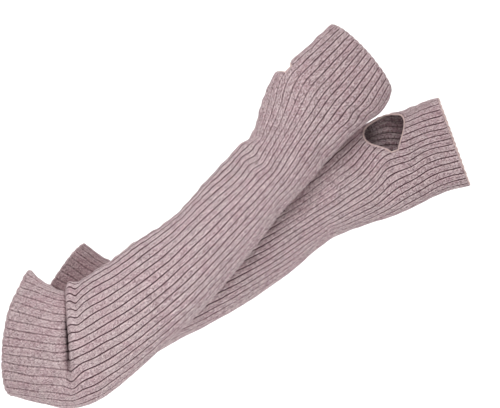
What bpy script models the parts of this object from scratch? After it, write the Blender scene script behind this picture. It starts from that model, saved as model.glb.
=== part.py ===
"""Pair of long ribbed arm warmers, worn crossed one over the other, with no wearer inside.

Each warmer is one knitted tube with a thumb opening, and two pale overlocked edges:
one round the finger end and one round the thumb opening. Lengths are in millimetres
until the last step of each function that makes vertices, and metres after it.
X runs to the right, Y away from the front, Z up. The origin is in the middle of the
front warmer's forearm.
"""

from collections import namedtuple

import bmesh
import bpy
import numpy as np

MM = 0.001

# Knit
RIBS = 36                  # ribs round each tube
WALL = 1.7                 # cloth at the bottom of a groove
RIB_HEIGHT = 1.1           # how far a rib stands above its grooves
RIB_SHOULDERS = (0.0, 0.24, 0.76)   # places across one rib: the groove, then the two shoulders
RIB_PROFILE = (0.0, 1.0, 1.0)       # share of RIB_HEIGHT at those places

# Overlocked edges
EDGE_WIDTH = 3.0           # along the cloth, in from the cut edge
EDGE_PROUD = 1.5           # above the grooves of the knit
EDGE_UNDER = 0.4           # below the inside of the knit
EDGE_POINTS_PER_RIB = 2
SEAM_GAP = 0.5

# The crease inside each elbow: the upper arm's cloth tucks under a roll of the forearm's.
# along is measured from the crease towards the fingers and height outwards; walls is the depth
# of the inside there, in walls, which is deeper where the cloth turns back sharply.
FoldPoint = namedtuple("FoldPoint", "along height walls")
ELBOW_FOLD = (
    FoldPoint(-20.0, 0.0, 1.0),
    FoldPoint(-9.0, -0.6, 1.0),
    FoldPoint(-4.0, -1.8, 1.0),
    FoldPoint(1.0, -8.0, 1.1),
    FoldPoint(2.2, 0.8, 1.0),
    FoldPoint(5.5, 3.2, 1.0),
    FoldPoint(11.0, 1.8, 1.0),
    FoldPoint(18.0, 0.0, 1.0),
)
FOLD_FULL = 80.0           # degrees round from the inside of the elbow where the fold is whole
FOLD_GONE = 138.0          # and where it has faded out

# A section is a flat ring across the arm. x, y and z place its middle; facing is the way it
# looks in the upright plane, in degrees up from +X; turn is how far it looks away from the
# front; half_width is in the upright plane and half_depth across it.
Section = namedtuple("Section", "name x y z facing turn half_width half_depth")

FRONT_SECTIONS = (
    Section("hem", -177, 12, -87, -8, -20, 60, 36),
    Section("upper arm", -163, 5, -93.5, -4, -12, 57, 37),
    Section("above elbow", -148, -1, -99, -1, -5, 55, 37),
    Section("crease", -134, -5, -102, 2, 2, 55, 37),
    Section("elbow roll", -125, -8, -99.5, 4.5, 4, 56, 38),
    Section("elbow", -112, -10, -94.5, 7, 4, 56.5, 38),
    Section("below elbow", -97, -10, -84, 9, 3, 56.5, 38),
    Section("forearm top", -78, -8, -69, 13, 4, 53.5, 38),
    Section("forearm wide", -55, -6, -50, 20, 4, 49, 37),
    Section("forearm upper", -27, -3, -27, 30, 4, 43.5, 35.5),
    Section("forearm middle", 0, 0, 0, 39, 3, 39.5, 33.5),
    Section("forearm lower", 28, 2, 32, 42, 3, 37, 31),
    Section("above wrist", 51, 4, 59, 41, 2, 35.5, 28),
    Section("wrist", 67, 5, 76, 46, 0, 35.5, 26),
    Section("heel of hand", 81, 5, 97, 57, -1, 39, 25),
    Section("palm low", 95, 4, 118, 63, 0, 43.5, 25),
    Section("thumb", 109, 4, 137, 59, 4, 48, 26),
    Section("palm", 124, 6, 149, 56, 9, 48, 25),
    Section("knuckles", 137.3, 11, 161.9, 50, 15, 45.3, 24),
    Section("finger end", 148, 18, 175, 41, 20, 42.5, 23),
)

BACK_SECTIONS = (
    Section("hem", -153, 94, -52, -32, -8, 55.5, 36),
    Section("upper arm", -136, 89, -62, -34, -12, 54, 37),
    Section("above elbow", -118, 85, -73, -26, -9, 55, 37),
    Section("crease", -109, 82, -78, -22, -6, 56, 37),
    Section("elbow roll", -101, 80, -77, -18, -5, 58, 38),
    Section("elbow", -87, 78, -76, -12, -4, 55.5, 38),
    Section("below elbow", -69, 75, -70, -2, -4, 50.5, 38),
    Section("forearm top", -45, 72, -56, 14, -4, 45, 36.5),
    Section("forearm middle", -15, 69, -41, 23, -4, 43.5, 35.5),
    Section("forearm lower", 20, 66, -24, 33, -4, 40, 33),
    Section("above wrist", 56, 62, -3, 39, -4, 36.5, 30),
    Section("wrist", 93, 59, 24, 38, -4, 33.5, 27),
    Section("heel of hand", 115, 56, 40, 33, -6, 36.5, 26.5),
    Section("palm low", 140, 51, 56, 22, -7, 42, 26),
    Section("thumb", 164, 45, 67, 20, -7, 45, 25),
    Section("palm", 189, 39, 78, 18, -7, 45, 24),
    Section("knuckles", 214, 33, 89, 20, -7, 43.5, 23),
    Section("finger end", 239, 27, 96, 20, -7, 44, 23),
)

# A thumb opening is a slot across the ribs, pulled open by the thumb. at is how far its middle is
# from the hem along the arm, rib the rib at its middle, counted from the top of the arm over the
# front, and half_ribs half its width. drawn_back and pushed_on are how far its middle opens
# towards the hem and towards the fingers, and sunk how far its finger side sinks in.
ThumbSlot = namedtuple("ThumbSlot", "at rib half_ribs drawn_back pushed_on sunk")
SLOT_HALF_LENGTH = 4.5     # half the cut, along the knit, at the slot's two corners
SLOT_REACH = 52.0          # how far towards the hem the cloth is drawn back with the slot
SLOT_RINGS = (-16.0, -SLOT_HALF_LENGTH, SLOT_HALF_LENGTH, 15.0)   # from the slot's middle
MM_PER_RIB = 6.3

# A crease is a soft trough, or a ridge where depth is below 0. at and rib are its middle,
# across and ribs its half sizes, and lean is how far it slants along the arm for each rib.
Crease = namedtuple("Crease", "at rib depth across ribs lean")

FRONT_CREASES = (
    Crease(0, 0.0, -2.5, 14.0, 1.0, 0.0),
    Crease(0, 3.2, 6.0, 15.0, 2.2, 0.0),
    Crease(0, -3.2, 6.5, 15.0, 2.2, 0.0),
    Crease(57, 0.5, -5.0, 9.0, 3.0, 0.5),
    Crease(65.5, 4.5, 1.7, 3.6, 3.6, 0.0),
    Crease(326, 2.5, 2.6, 6.0, 2.6, 3.2),
    Crease(312, 3.0, -1.6, 6.0, 2.4, 3.2),
    Crease(306, 11.5, 2.2, 6.5, 2.4, -2.8),
    Crease(334, 10.5, -1.4, 7.0, 2.6, -2.6),
    Crease(352, 15.0, 2.0, 7.0, 2.0, -2.0),
    Crease(402, 15.0, 2.4, 7.0, 2.4, 2.6),
    Crease(386, 14.5, -1.4, 6.0, 2.2, 2.6),
    Crease(26, 13.0, -2.0, 8.0, 2.6, 3.0),
    Crease(322, 24.0, 2.2, 7.0, 4.0, 1.0),
    Crease(338, 30.0, -1.4, 7.0, 3.0, -1.5),
    Crease(104, 28.0, 2.0, 8.0, 3.5, 1.5),
)

BACK_CREASES = (
    Crease(0, 4.0, -2.0, 12.0, 2.5, 0.0),
    Crease(292, 8.0, 1.8, 8.0, 3.5, 1.8),
    Crease(310, 5.0, -1.4, 7.0, 3.0, 2.0),
    Crease(300, 15.0, 1.6, 7.0, 3.0, -1.6),
    Crease(296, 26.0, 2.0, 8.0, 4.0, 1.0),
    Crease(316, 30.0, -1.4, 7.0, 3.0, -1.4),
    Crease(376, 9.0, 2.4, 7.0, 2.6, -5.4),
    Crease(413, 11.0, 1.3, 8.0, 4.0, 1.2),
    Crease(26, 6.0, 2.0, 8.0, 3.0, 2.0),
    Crease(28, 22.0, 2.0, 9.0, 3.0, -2.0),
)

# How far the worn ribs drift round the arm from an even spread, in ribs. One row for each
# DRIFT_ROW_GAP mm from the arm end, the first a row before it, and twelve values round.
DRIFT_ROW_GAP = 20.0

FRONT_DRIFT = (
    (0.2, 0.6, 1, 1.3, 1.2, 0.8, 0.4, 0.1, 0, 0, 0, 0),
    (0, 0.1, 0.3, 0.5, 0.5, 0.4, 0.2, 0, 0, 0, 0, 0),
    (-0.1, -0.2, -0.3, -0.4, -0.4, -0.4, -0.2, -0.1, 0, 0, 0, 0),
    (-0.1, -0.3, -0.5, -0.8, -0.9, -0.9, -0.6, -0.1, 0, 0, 0, 0),
    (-0.2, -0.5, -0.7, -1, -1.1, -1.1, -0.7, -0.2, 0, 0, 0, 0),
    (-0.2, -0.5, -0.9, -1.1, -1.2, -1.2, -0.8, -0.2, 0, 0, 0, 0),
    (-0.1, -0.3, -0.6, -0.8, -0.8, -1, -0.8, -0.2, 0, 0, 0, 0),
    (0.1, 0, -0.2, -0.3, -0.5, -0.7, -0.6, -0.2, 0, 0, 0, 0),
    (0.3, 0.3, 0, -0.1, -0.3, -0.5, -0.4, -0.1, 0, 0, 0, 0.1),
    (0.3, 0.4, 0.2, 0.1, -0.1, -0.4, -0.4, -0.1, 0, 0, 0, 0.1),
    (0.2, 0.3, 0.2, 0.1, -0.1, -0.4, -0.3, -0.1, 0, 0, 0, 0.1),
    (0.2, 0.3, 0.2, 0.1, -0.2, -0.4, -0.3, -0.1, 0, 0, 0, 0),
    (0.2, 0.3, 0.3, 0.2, -0.1, -0.3, -0.3, -0.1, 0, 0, 0, 0),
    (0.2, 0.3, 0.4, 0.3, 0, -0.2, -0.2, -0.1, 0, 0, 0, 0),
    (0.4, 0.6, 0.6, 0.5, 0.2, 0, 0, 0, 0, 0, 0, 0.1),
    (0.6, 1.1, 1, 0.7, 0.4, 0.2, 0.1, 0, 0, 0, 0, 0.1),
    (0.9, 1.5, 1.3, 0.9, 0.6, 0.4, 0.2, 0, 0, 0, 0, 0.2),
    (1, 1.3, 1.1, 0.9, 0.9, 0.6, 0.3, 0.1, 0, 0, 0, 0.2),
    (1, 1.2, 0.9, 0.4, 0.2, 0.3, 0.2, 0.1, 0, -0.1, 0, 0.2),
    (1, 1.2, 0.9, 0.5, 0.2, 0.2, 0.3, 0.2, 0.1, 0, 0.1, 0.2),
    (0.4, 0.8, 0.5, 0.3, 0.3, 0.4, 0.5, 0.4, 0.4, 0.4, 0.2, 0.1),
    (-0.6, -0.5, 0, 0.4, 0.4, 0.6, 0.7, 0.8, 1.1, 1.1, 0.6, 0),
    (-0.3, -0.6, -0.7, -0.2, 0, 0, 0.1, 0.1, 0.1, 0.1, 0.1, -0.1),
    (-0.5, -0.9, -1.1, -0.7, -0.5, -0.8, -0.6, -0.1, 0, 0, 0, -0.1),
    (-0.6, -1.1, -1.2, -1, -0.8, -0.8, -0.6, -0.1, 0.1, 0.1, 0.1, -0.2),
    (-0.6, -0.9, -1.2, -1.4, -1.2, -0.8, -0.5, -0.2, -0.1, -0.1, -0.1, -0.2),
    (-0.4, -0.9, -1.2, -1.5, -1.3, -0.9, -0.5, -0.1, 0, 0, 0, -0.1),
)

BACK_DRIFT = (
    (0.1, 0.1, 0.1, 0.1, 0.1, 0, 0, 0, 0, 0, 0, 0),
    (0, 0, 0, 0, 0, 0, 0, 0, 0, 0, 0, 0),
    (0, 0, -0.1, -0.1, -0.1, -0.1, 0, 0, 0, 0, 0, 0),
    (0, -0.1, -0.2, -0.2, -0.1, -0.1, 0, 0, 0, 0, 0, 0),
    (-0.1, -0.1, -0.2, -0.2, -0.1, -0.1, 0, 0, 0, 0, 0, 0),
    (-0.1, -0.1, -0.1, -0.1, -0.1, -0.1, 0, 0, 0, 0, 0, 0),
    (0, -0.1, -0.1, -0.1, -0.1, -0.1, 0, 0, 0, 0, 0, 0),
    (0, -0.1, -0.1, -0.1, -0.1, -0.1, 0, 0, 0, 0, 0, 0),
    (0, 0, 0, -0.1, -0.1, -0.1, 0, 0, 0, 0, 0, 0),
    (0, 0.1, 0.1, 0, 0, -0.1, -0.1, 0, 0, 0, 0, 0),
    (0.1, 0.2, 0.3, 0.2, 0, -0.2, -0.2, -0.1, 0, 0, 0, 0),
    (0.2, 0.4, 0.5, 0.4, 0.1, -0.2, -0.3, -0.1, 0, 0, 0, 0),
    (0.4, 0.7, 0.8, 0.6, 0.2, -0.2, -0.2, -0.1, 0, 0, 0, 0.1),
    (0.5, 1, 1.1, 0.9, 0.4, -0.1, -0.2, -0.1, 0, 0, 0, 0.1),
    (0.7, 1.3, 1.4, 1.1, 0.6, 0.2, 0, 0, 0, 0, 0, 0.1),
    (1, 1.7, 1.8, 1.5, 0.9, 0.5, 0.2, 0, 0, -0.1, 0, 0.2),
    (1.2, 2, 2, 1.7, 1.1, 0.6, 0.3, 0.1, 0, 0, 0, 0.2),
    (1.6, 2.4, 2.3, 1.9, 1.3, 0.8, 0.4, 0.1, -0.1, -0.1, -0.1, 0.2),
    (1.4, 2.2, 2.1, 1.8, 1.4, 0.9, 0.5, 0.2, 0.1, 0.2, 0.3, 0.5),
    (0.7, 1.1, 1.9, 1.7, 1.2, 0.8, 0.4, 0.2, 0.2, 0.5, 0.7, 0.8),
    (0.4, -0.6, -0.8, 0.1, 0.3, 0, 0.2, 0.6, 1.3, 2.6, 2.3, 1.4),
    (0, -0.6, -1.1, -1, -0.3, -0.3, -0.1, 0.2, 0.4, 0.9, 1.1, 0.8),
    (-0.4, -0.5, -0.6, -0.7, -0.6, -0.4, -0.3, -0.2, -0.2, -0.5, -0.5, -0.5),
    (-0.3, -0.7, -0.9, -0.9, -0.8, -0.8, -0.5, 0, 0.2, 0.4, 0.4, 0.2),
    (-0.6, -0.5, -0.3, -0.2, -0.4, -0.5, -0.4, -0.2, -0.2, -0.4, -0.5, -0.5),
    (0.2, -2, -4, -4.3, -3.1, -1.7, -0.5, 0.4, 1.3, 2.2, 2.5, 1.7),
)

# Where ribs sag further round still, over a small patch: its place, how many ribs they sag by,
# and its half sizes along the arm and in ribs.
Sag = namedtuple("Sag", "at rib by across ribs")

FRONT_SAGS = (
    Sag(77, 4.5, 0.55, 7.0, 3.6),
    Sag(62, 13.2, 0.9, 9.0, 2.4),
    Sag(309, 3.5, -0.4, 7.0, 2.6),
    Sag(322, 5.5, 0.4, 7.0, 3.0),
)

BACK_SAGS = (
    Sag(386, 9.5, -0.5, 10.0, 2.6),
    Sag(410, 10.0, 0.3, 9.0, 3.0),
)

# fold is the share of ELBOW_FOLD's heights that this warmer has.
Warmer = namedtuple("Warmer", "name sections slot creases fold drift sags")
FRONT = Warmer(
    "front", FRONT_SECTIONS, ThumbSlot(400.5, -3.5, 6.5, 5, 20, 5), FRONT_CREASES, 1.0, FRONT_DRIFT,
    FRONT_SAGS,
)
BACK = Warmer(
    "back", BACK_SECTIONS, ThumbSlot(392.5, 3, 5, 20, 14, 3), BACK_CREASES, 0.6, BACK_DRIFT,
    BACK_SAGS,
)

KNIT_COLOUR = (0.47, 0.355, 0.37, 1.0)
EDGE_COLOUR = (0.78, 0.64, 0.61, 1.0)


def remove_objects():
    for found in list(bpy.data.objects):
        bpy.data.objects.remove(found)


def cloth_material(name, colour, roughness):
    material = bpy.data.materials.new(name)
    material.use_nodes = True
    shader = material.node_tree.nodes["Principled BSDF"]
    shader.inputs["Base Color"].default_value = colour
    shader.inputs["Roughness"].default_value = roughness
    shader.inputs["Metallic"].default_value = 0.0
    return material


def smooth_step(x):
    x = np.clip(x, 0.0, 1.0)
    return x * x * (3 - 2 * x)


def smooth_table(knots, rows, count=500):
    """The rows joined by a curve without corners, read off at count places."""
    rows = np.asarray(rows, float)
    slopes = np.gradient(rows, knots, axis=0)
    fine = np.linspace(knots[0], knots[-1], count)
    left = np.clip(np.searchsorted(knots, fine, side="right") - 1, 0, len(knots) - 2)
    span = (knots[left + 1] - knots[left])[:, None]
    s = ((fine - knots[left])[:, None]) / span
    ends = (2 * s**3 - 3 * s**2 + 1) * rows[left] + (3 * s**2 - 2 * s**3) * rows[left + 1]
    bends = (s**3 - 2 * s**2 + s) * slopes[left] + (s**3 - s**2) * slopes[left + 1]
    return fine, ends + bends * span


def spline_shares(share):
    """What the four nearest control values give at share of the way between the middle two."""
    back = 1 - share
    return (
        back**3 / 6,
        (3 * share**3 - 6 * share**2 + 4) / 6,
        (3 * back**3 - 6 * back**2 + 4) / 6,
        share**3 / 6,
    )


class Sleeve:
    """One warmer's middle surface: where a place on the knit lies in space.

    A place is (length, rib): length in mm along the knit from the hem, rib counted round
    the tube from the top of the arm over the front.
    """

    def __init__(self, warmer):
        self.warmer = warmer
        columns = np.array([row[1:] for row in warmer.sections], float)
        steps = np.linalg.norm(np.diff(columns[:, :3], axis=0), axis=1)
        self.section_at = np.concatenate([[0.0], np.cumsum(steps)])
        self.fine_at, self.fine = smooth_table(self.section_at, columns)
        names = [row.name for row in warmer.sections]
        crease, roll = names.index("crease"), names.index("elbow roll")
        self.fold_at = (self.section_at[crease] + self.section_at[roll]) / 2
        fold = np.array(ELBOW_FOLD) * (1.0, warmer.fold, 1.0)
        paths = np.linalg.norm(np.diff(fold[:, :2], axis=0), axis=1)
        self.fold_lengths = self.fold_at + fold[0, 0] + np.concatenate([[0.0], np.cumsum(paths)])
        self.fold_alongs = self.fold_at + fold[:, 0]
        self.fold_heights = fold[:, 1]
        self.fold_walls = fold[:, 2]
        self.taken_up = paths.sum() - (fold[-1, 0] - fold[0, 0])
        self.length = self.section_at[-1] + self.taken_up
        self.knit_end = self.length - EDGE_WIDTH - SEAM_GAP
        self.slot_length = warmer.slot.at + self.taken_up
        self.drift = np.array(warmer.drift)

    def unfolded(self, length):
        """The place along the arm if there were no fold, evenly spread over the fold's cloth."""
        knots = [0.0, self.fold_lengths[0], self.fold_lengths[-1], self.length]
        places = [0.0, self.fold_alongs[0], self.fold_alongs[-1], self.section_at[-1]]
        return np.interp(length, knots, places)

    def rib_angle(self, rib, half_width, half_depth):
        """The angle that spaces the ribs evenly round a flattened ring."""
        even = 2 * np.pi * rib / RIBS
        flatness = (half_width - half_depth) / (half_width + half_depth)
        return even + 0.5 * flatness * np.sin(2 * even)

    def crease_height(self, along, rib):
        height = np.zeros(np.broadcast(along, rib).shape)
        for row in self.warmer.creases:
            aside = (rib - row.rib + RIBS / 2) % RIBS - RIBS / 2
            ahead = along - row.at - row.lean * aside
            height -= row.depth * np.exp(-((ahead / row.across) ** 2) - (aside / row.ribs) ** 2)
        return height

    def points(self, length, rib):
        """The middle surface at arrays of lengths and ribs, as (..., 3) in mm."""
        plain = self.unfolded(length)
        middle = [np.interp(plain, self.fine_at, self.fine[:, i]) for i in (5, 6)]
        angle = self.rib_angle(rib, *middle)
        round_from_top = np.abs((np.degrees(angle) + 180) % 360 - 180)
        fold = 1 - smooth_step((round_from_top - FOLD_FULL) / (FOLD_GONE - FOLD_FULL))
        folded = np.interp(length, self.fold_lengths, self.fold_alongs)
        inside = (length > self.fold_lengths[0]) & (length < self.fold_lengths[-1])
        along = np.where(inside, plain + (folded - plain) * fold, plain)
        height = np.interp(length, self.fold_lengths, self.fold_heights) * fold
        height = height + self.crease_height(along, rib)
        x, y, z, facing, turn, wide, deep = (
            np.interp(along, self.fine_at, self.fine[:, i]) for i in range(7)
        )
        facing, turn = np.radians(facing), np.radians(turn)
        ahead = np.stack([np.cos(facing), np.zeros_like(x), np.sin(facing)], -1)
        top = np.stack([-np.sin(facing), np.zeros_like(x), np.cos(facing)], -1)
        front = np.array([0.0, -1.0, 0.0])
        near = np.cos(turn)[..., None] * front + np.sin(turn)[..., None] * ahead
        cosine, sine = np.cos(angle), np.sin(angle)
        out = (cosine / wide)[..., None] * top + (sine / deep)[..., None] * near
        out /= np.linalg.norm(out, axis=-1, keepdims=True)
        ring = (wide * cosine)[..., None] * top + (deep * sine)[..., None] * near
        return np.stack([x, y, z], -1) + ring + height[..., None] * out

    def raised(self, length, rib, height):
        """The middle surface moved outwards by height mm, square to the cloth."""
        nudge_along, nudge_round = 0.4, 0.04
        forward = self.points(length + nudge_along, rib) - self.points(length - nudge_along, rib)
        sideways = self.points(length, rib + nudge_round) - self.points(length, rib - nudge_round)
        normal = np.cross(sideways, forward)
        normal /= np.linalg.norm(normal, axis=-1, keepdims=True)
        return self.points(length, rib) + np.asarray(height)[..., None] * normal

    def drifted(self, length, rib):
        """How many ribs further round a rib lies there than an even spread would put it."""
        rows, columns = self.drift.shape
        down, across = length / DRIFT_ROW_GAP, np.asarray(rib) * columns / RIBS
        first = np.clip(np.floor(down).astype(int), 0, rows - 4)
        start = np.floor(across).astype(int)
        total = 0.0
        for i, row_share in enumerate(spline_shares(down - first)):
            for j, column_share in enumerate(spline_shares(across - start)):
                held = self.drift[first + i, (start - 1 + j) % columns]
                total = total + held * row_share * column_share
        for row in self.warmer.sags:
            aside = (rib - row.rib + RIBS / 2) % RIBS - RIBS / 2
            total = total + row.by * np.exp(
                -(((length - row.at) / row.across) ** 2) - (aside / row.ribs) ** 2
            )
        return total

    def place(self, length, rib):
        """Where a place on the flat knit comes to lie: length along, rib round, and the height
        it sinks by, with the thumb slot pulled open.
        """
        slot = self.warmer.slot
        aside = ((rib - slot.rib + RIBS / 2) % RIBS - RIBS / 2) / slot.half_ribs
        gape = np.clip(1 - aside**2, 0, None) ** 1.5
        ahead = length - self.slot_length
        hand_reach = self.knit_end - self.slot_length - SLOT_HALF_LENGTH
        reach = np.where(ahead < 0, SLOT_REACH, hand_reach)
        gape = gape * (1 - smooth_step((np.abs(ahead) - SLOT_HALF_LENGTH) / reach))
        moved = length + np.where(ahead < 0, -slot.drawn_back, slot.pushed_on) * gape
        sunk = np.where(ahead < 0, 0.0, -slot.sunk) * gape
        return moved, rib + self.drifted(moved, rib), sunk

    def worn(self, length, rib, height):
        """A place on the flat knit as worn, height mm out from the middle of the cloth."""
        moved, drifted, sunk = self.place(length, rib)
        return self.raised(moved, drifted, height + sunk)

    def ring_lengths(self):
        """Lengths that get a ring: the sections, the fold's points and the slot's rings."""
        slot_rings = [self.slot_length + ahead for ahead in SLOT_RINGS]
        clear = 9.0
        plain = [
            length
            for length in (*self.section_at[:3], *(self.section_at[4:] + self.taken_up))
            if not self.fold_lengths[0] - clear < length < self.fold_lengths[-1] + clear / 2
            and not slot_rings[0] - clear < length < slot_rings[-1] + clear
            and length < self.knit_end - clear
        ]
        return np.array(sorted([*plain, *self.fold_lengths, *slot_rings, self.knit_end]))


def rib_heights(places):
    """Height above the groove for places across the ribs."""
    share = places % 1.0
    return RIB_HEIGHT * np.interp(share, (*RIB_SHOULDERS, 1.0), (*RIB_PROFILE, RIB_PROFILE[0]))


def slot_columns(slot, per_rib):
    """The first and last column of the slot, for a ring with per_rib points a rib."""
    return (
        round((slot.rib - slot.half_ribs) * per_rib),
        round((slot.rib + slot.half_ribs) * per_rib),
    )


def link_mesh(name, bm, material):
    bmesh.ops.recalc_face_normals(bm, faces=bm.faces)
    mesh = bpy.data.meshes.new(name)
    bm.to_mesh(mesh)
    bm.free()
    mesh.materials.append(material)
    made = bpy.data.objects.new(name, mesh)
    bpy.context.scene.collection.objects.link(made)
    return made


def add_points(bm, points):
    """Vertices for a grid of points in mm, as nested lists in metres."""
    return [[bm.verts.new(point * MM) for point in row] for row in points]


def fan_between(bm, fine_row, coarse_row, per_coarse, columns):
    """Closes a rim: each coarse point meets the fine points beside it."""
    for column in columns:
        near = coarse_row[column % len(coarse_row)]
        beyond = coarse_row[(column + 1) % len(coarse_row)]
        for i in range(per_coarse):
            first = fine_row[(column * per_coarse + i) % len(fine_row)]
            second = fine_row[(column * per_coarse + i + 1) % len(fine_row)]
            bm.faces.new((near, first, second))
        bm.faces.new((near, second, beyond))


def knitted_tube(sleeve, material):
    """The ribbed outside, the plain inside, and the rims and opening that join them."""
    slot = sleeve.warmer.slot
    lengths = sleeve.ring_lengths()
    low = int(np.argmin(np.abs(lengths - sleeve.slot_length + SLOT_HALF_LENGTH)))
    high = low + 1
    per_rib = len(RIB_SHOULDERS)
    outer_ribs = (np.arange(RIBS)[:, None] + np.array(RIB_SHOULDERS)).ravel()
    inner_ribs = np.arange(RIBS, dtype=float)

    def layer(ribs, heights):
        grid = np.meshgrid(lengths, ribs, indexing="ij")
        return sleeve.worn(*grid, np.broadcast_to(heights, grid[0].shape))

    walls = np.interp(lengths, sleeve.fold_lengths, sleeve.fold_walls)[:, None]
    bm = bmesh.new()
    outer = add_points(bm, layer(outer_ribs, rib_heights(outer_ribs)))
    inner = add_points(bm, layer(inner_ribs, -WALL * walls))
    for rows, count, each in ((outer, RIBS * per_rib, per_rib), (inner, RIBS, 1)):
        first, last = slot_columns(slot, each)
        open_columns = {column % count for column in range(first, last)}
        for ring in range(len(lengths) - 1):
            for column in range(count):
                if ring == low and column in open_columns:
                    continue
                beside = (column + 1) % count
                bm.faces.new(
                    (rows[ring][column], rows[ring][beside], rows[ring + 1][beside], rows[ring + 1][column])
                )
    first, last = slot_columns(slot, 1)
    for ring, columns in (
        (0, range(RIBS)),
        (len(lengths) - 1, range(RIBS)),
        (low, range(first, last)),
        (high, range(first, last)),
    ):
        fan_between(bm, outer[ring], inner[ring], per_rib, columns)
    for column in (first, last):
        out, within = column * per_rib % (RIBS * per_rib), column % RIBS
        bm.faces.new((outer[low][out], outer[high][out], inner[high][within], inner[low][within]))
    in_the_opening = [vert for vert in bm.verts if not vert.link_faces]
    bmesh.ops.delete(bm, geom=in_the_opening, context="VERTS")
    return link_mesh(f"{sleeve.warmer.name}_tube", bm, material)


def closed_band(name, corners, material):
    """A closed ring: corners is (4, around, 3), its four edges as loops of points in mm."""
    bm = bmesh.new()
    loops = add_points(bm, corners)
    around = len(loops[0])
    for edge in range(4):
        for i in range(around):
            beside, across = (i + 1) % around, (edge + 1) % 4
            bm.faces.new(
                (loops[edge][i], loops[edge][beside], loops[across][beside], loops[across][i])
            )
    return link_mesh(name, bm, material)


def finger_edge(sleeve, material):
    """The overlocked edge round the finger end."""
    ribs = np.arange(RIBS * EDGE_POINTS_PER_RIB) / EDGE_POINTS_PER_RIB
    proud = EDGE_PROUD + 0.5 * (rib_heights(ribs) - RIB_HEIGHT)
    end = sleeve.length
    start = end - EDGE_WIDTH
    under = np.full_like(ribs, -WALL - EDGE_UNDER)
    corners = [
        sleeve.worn(np.full_like(ribs, length), ribs, height)
        for length, height in ((start, proud), (end, proud), (end, under), (start, under))
    ]
    return closed_band(f"{sleeve.warmer.name}_finger_edge", corners, material)


def thumb_edge(sleeve, material):
    """The overlocked edge inside the thumb opening, on the same places as the tube's cut edge."""
    slot = sleeve.warmer.slot
    per_rib = len(RIB_SHOULDERS)
    first, last = slot_columns(slot, per_rib)
    lip = [(column // per_rib + RIB_SHOULDERS[column % per_rib] - slot.rib) / slot.half_ribs
           for column in range(first, last + 1)]
    outline = [(-1.0, y) for y in lip[:-1]] + [(-1.0, 1.0), (0.0, 1.0)]
    outline += [(1.0, y) for y in reversed(lip[1:])] + [(1.0, -1.0), (0.0, -1.0)]
    square = np.array(outline)

    def loop(inset, height):
        lengths = sleeve.slot_length + square[:, 0] * (SLOT_HALF_LENGTH - inset)
        ribs = slot.rib + square[:, 1] * (slot.half_ribs - inset / MM_PER_RIB)
        return sleeve.worn(lengths, ribs, np.full(len(square), height))

    under = -WALL - EDGE_UNDER
    corners = [
        loop(SEAM_GAP, EDGE_PROUD),
        loop(SEAM_GAP + EDGE_WIDTH, EDGE_PROUD),
        loop(SEAM_GAP + EDGE_WIDTH, under),
        loop(SEAM_GAP, under),
    ]
    return closed_band(f"{sleeve.warmer.name}_thumb_edge", corners, material)


def main():
    remove_objects()
    knit = cloth_material("heather rib knit", KNIT_COLOUR, 0.9)
    edging = cloth_material("pale overlock yarn", EDGE_COLOUR, 0.8)
    for warmer in (FRONT, BACK):
        sleeve = Sleeve(warmer)
        knitted_tube(sleeve, knit)
        finger_edge(sleeve, edging)
        thumb_edge(sleeve, edging)


main()
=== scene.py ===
import math
from collections import namedtuple

import bmesh
import bpy
import numpy as np
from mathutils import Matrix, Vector


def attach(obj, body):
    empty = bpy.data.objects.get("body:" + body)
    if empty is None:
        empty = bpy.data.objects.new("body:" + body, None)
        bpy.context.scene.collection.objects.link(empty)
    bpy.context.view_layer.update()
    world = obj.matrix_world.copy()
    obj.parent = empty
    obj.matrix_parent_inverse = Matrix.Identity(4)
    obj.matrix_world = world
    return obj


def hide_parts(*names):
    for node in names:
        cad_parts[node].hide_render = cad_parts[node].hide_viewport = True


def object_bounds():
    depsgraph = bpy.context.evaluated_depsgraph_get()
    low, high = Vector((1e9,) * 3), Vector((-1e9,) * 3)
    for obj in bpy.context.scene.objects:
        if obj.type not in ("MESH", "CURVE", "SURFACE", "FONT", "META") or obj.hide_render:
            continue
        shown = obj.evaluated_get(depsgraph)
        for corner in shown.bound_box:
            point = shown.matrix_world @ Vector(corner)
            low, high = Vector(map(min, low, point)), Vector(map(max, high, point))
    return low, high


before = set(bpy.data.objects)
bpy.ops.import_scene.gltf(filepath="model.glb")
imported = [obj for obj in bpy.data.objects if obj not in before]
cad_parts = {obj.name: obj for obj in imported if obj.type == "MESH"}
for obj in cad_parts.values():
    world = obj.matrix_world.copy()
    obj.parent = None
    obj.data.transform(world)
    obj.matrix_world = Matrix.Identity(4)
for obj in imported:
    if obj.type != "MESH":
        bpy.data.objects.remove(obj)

bl_info = {
    "name": "Ribbed arm warmers",
    "version": (1, 0, 0),
    "blender": (4, 5, 0),
    "location": "View3D > Sidebar > Arm Warmers",
    "description": "Knits, edges and lights the worn pair of ribbed arm warmers",
    "category": "Add Mesh",
}

CAD_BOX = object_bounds()
MM = 0.001

# Knit, in mm. Lengths along a warmer run from its arm end, ribs are counted round it from the
# top of the arm over the front.
RIBS = 36
RIB_SAMPLES = (0.0, 0.05, 0.12, 0.34, 0.66, 0.88, 0.95)   # the mesh's columns across one rib
GROOVE_WIDTH = 0.06        # of a rib
RIB_CROWN = 0.14           # of a rib's height, that its middle stands above its sides
ROW_STEP = 3.2
FOLD_ROW_STEP = 1.6
HAND_ROW_STEP = 0.8 * ROW_STEP
EDGE_WIDTH = 2.0
EDGE_DROP = -0.4           # from the knit's outside to the middle of an overlocked edge
SEAM_GAP = 0.3
KNIT_UNDER_EDGE = 0.6 * EDGE_WIDTH

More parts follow.
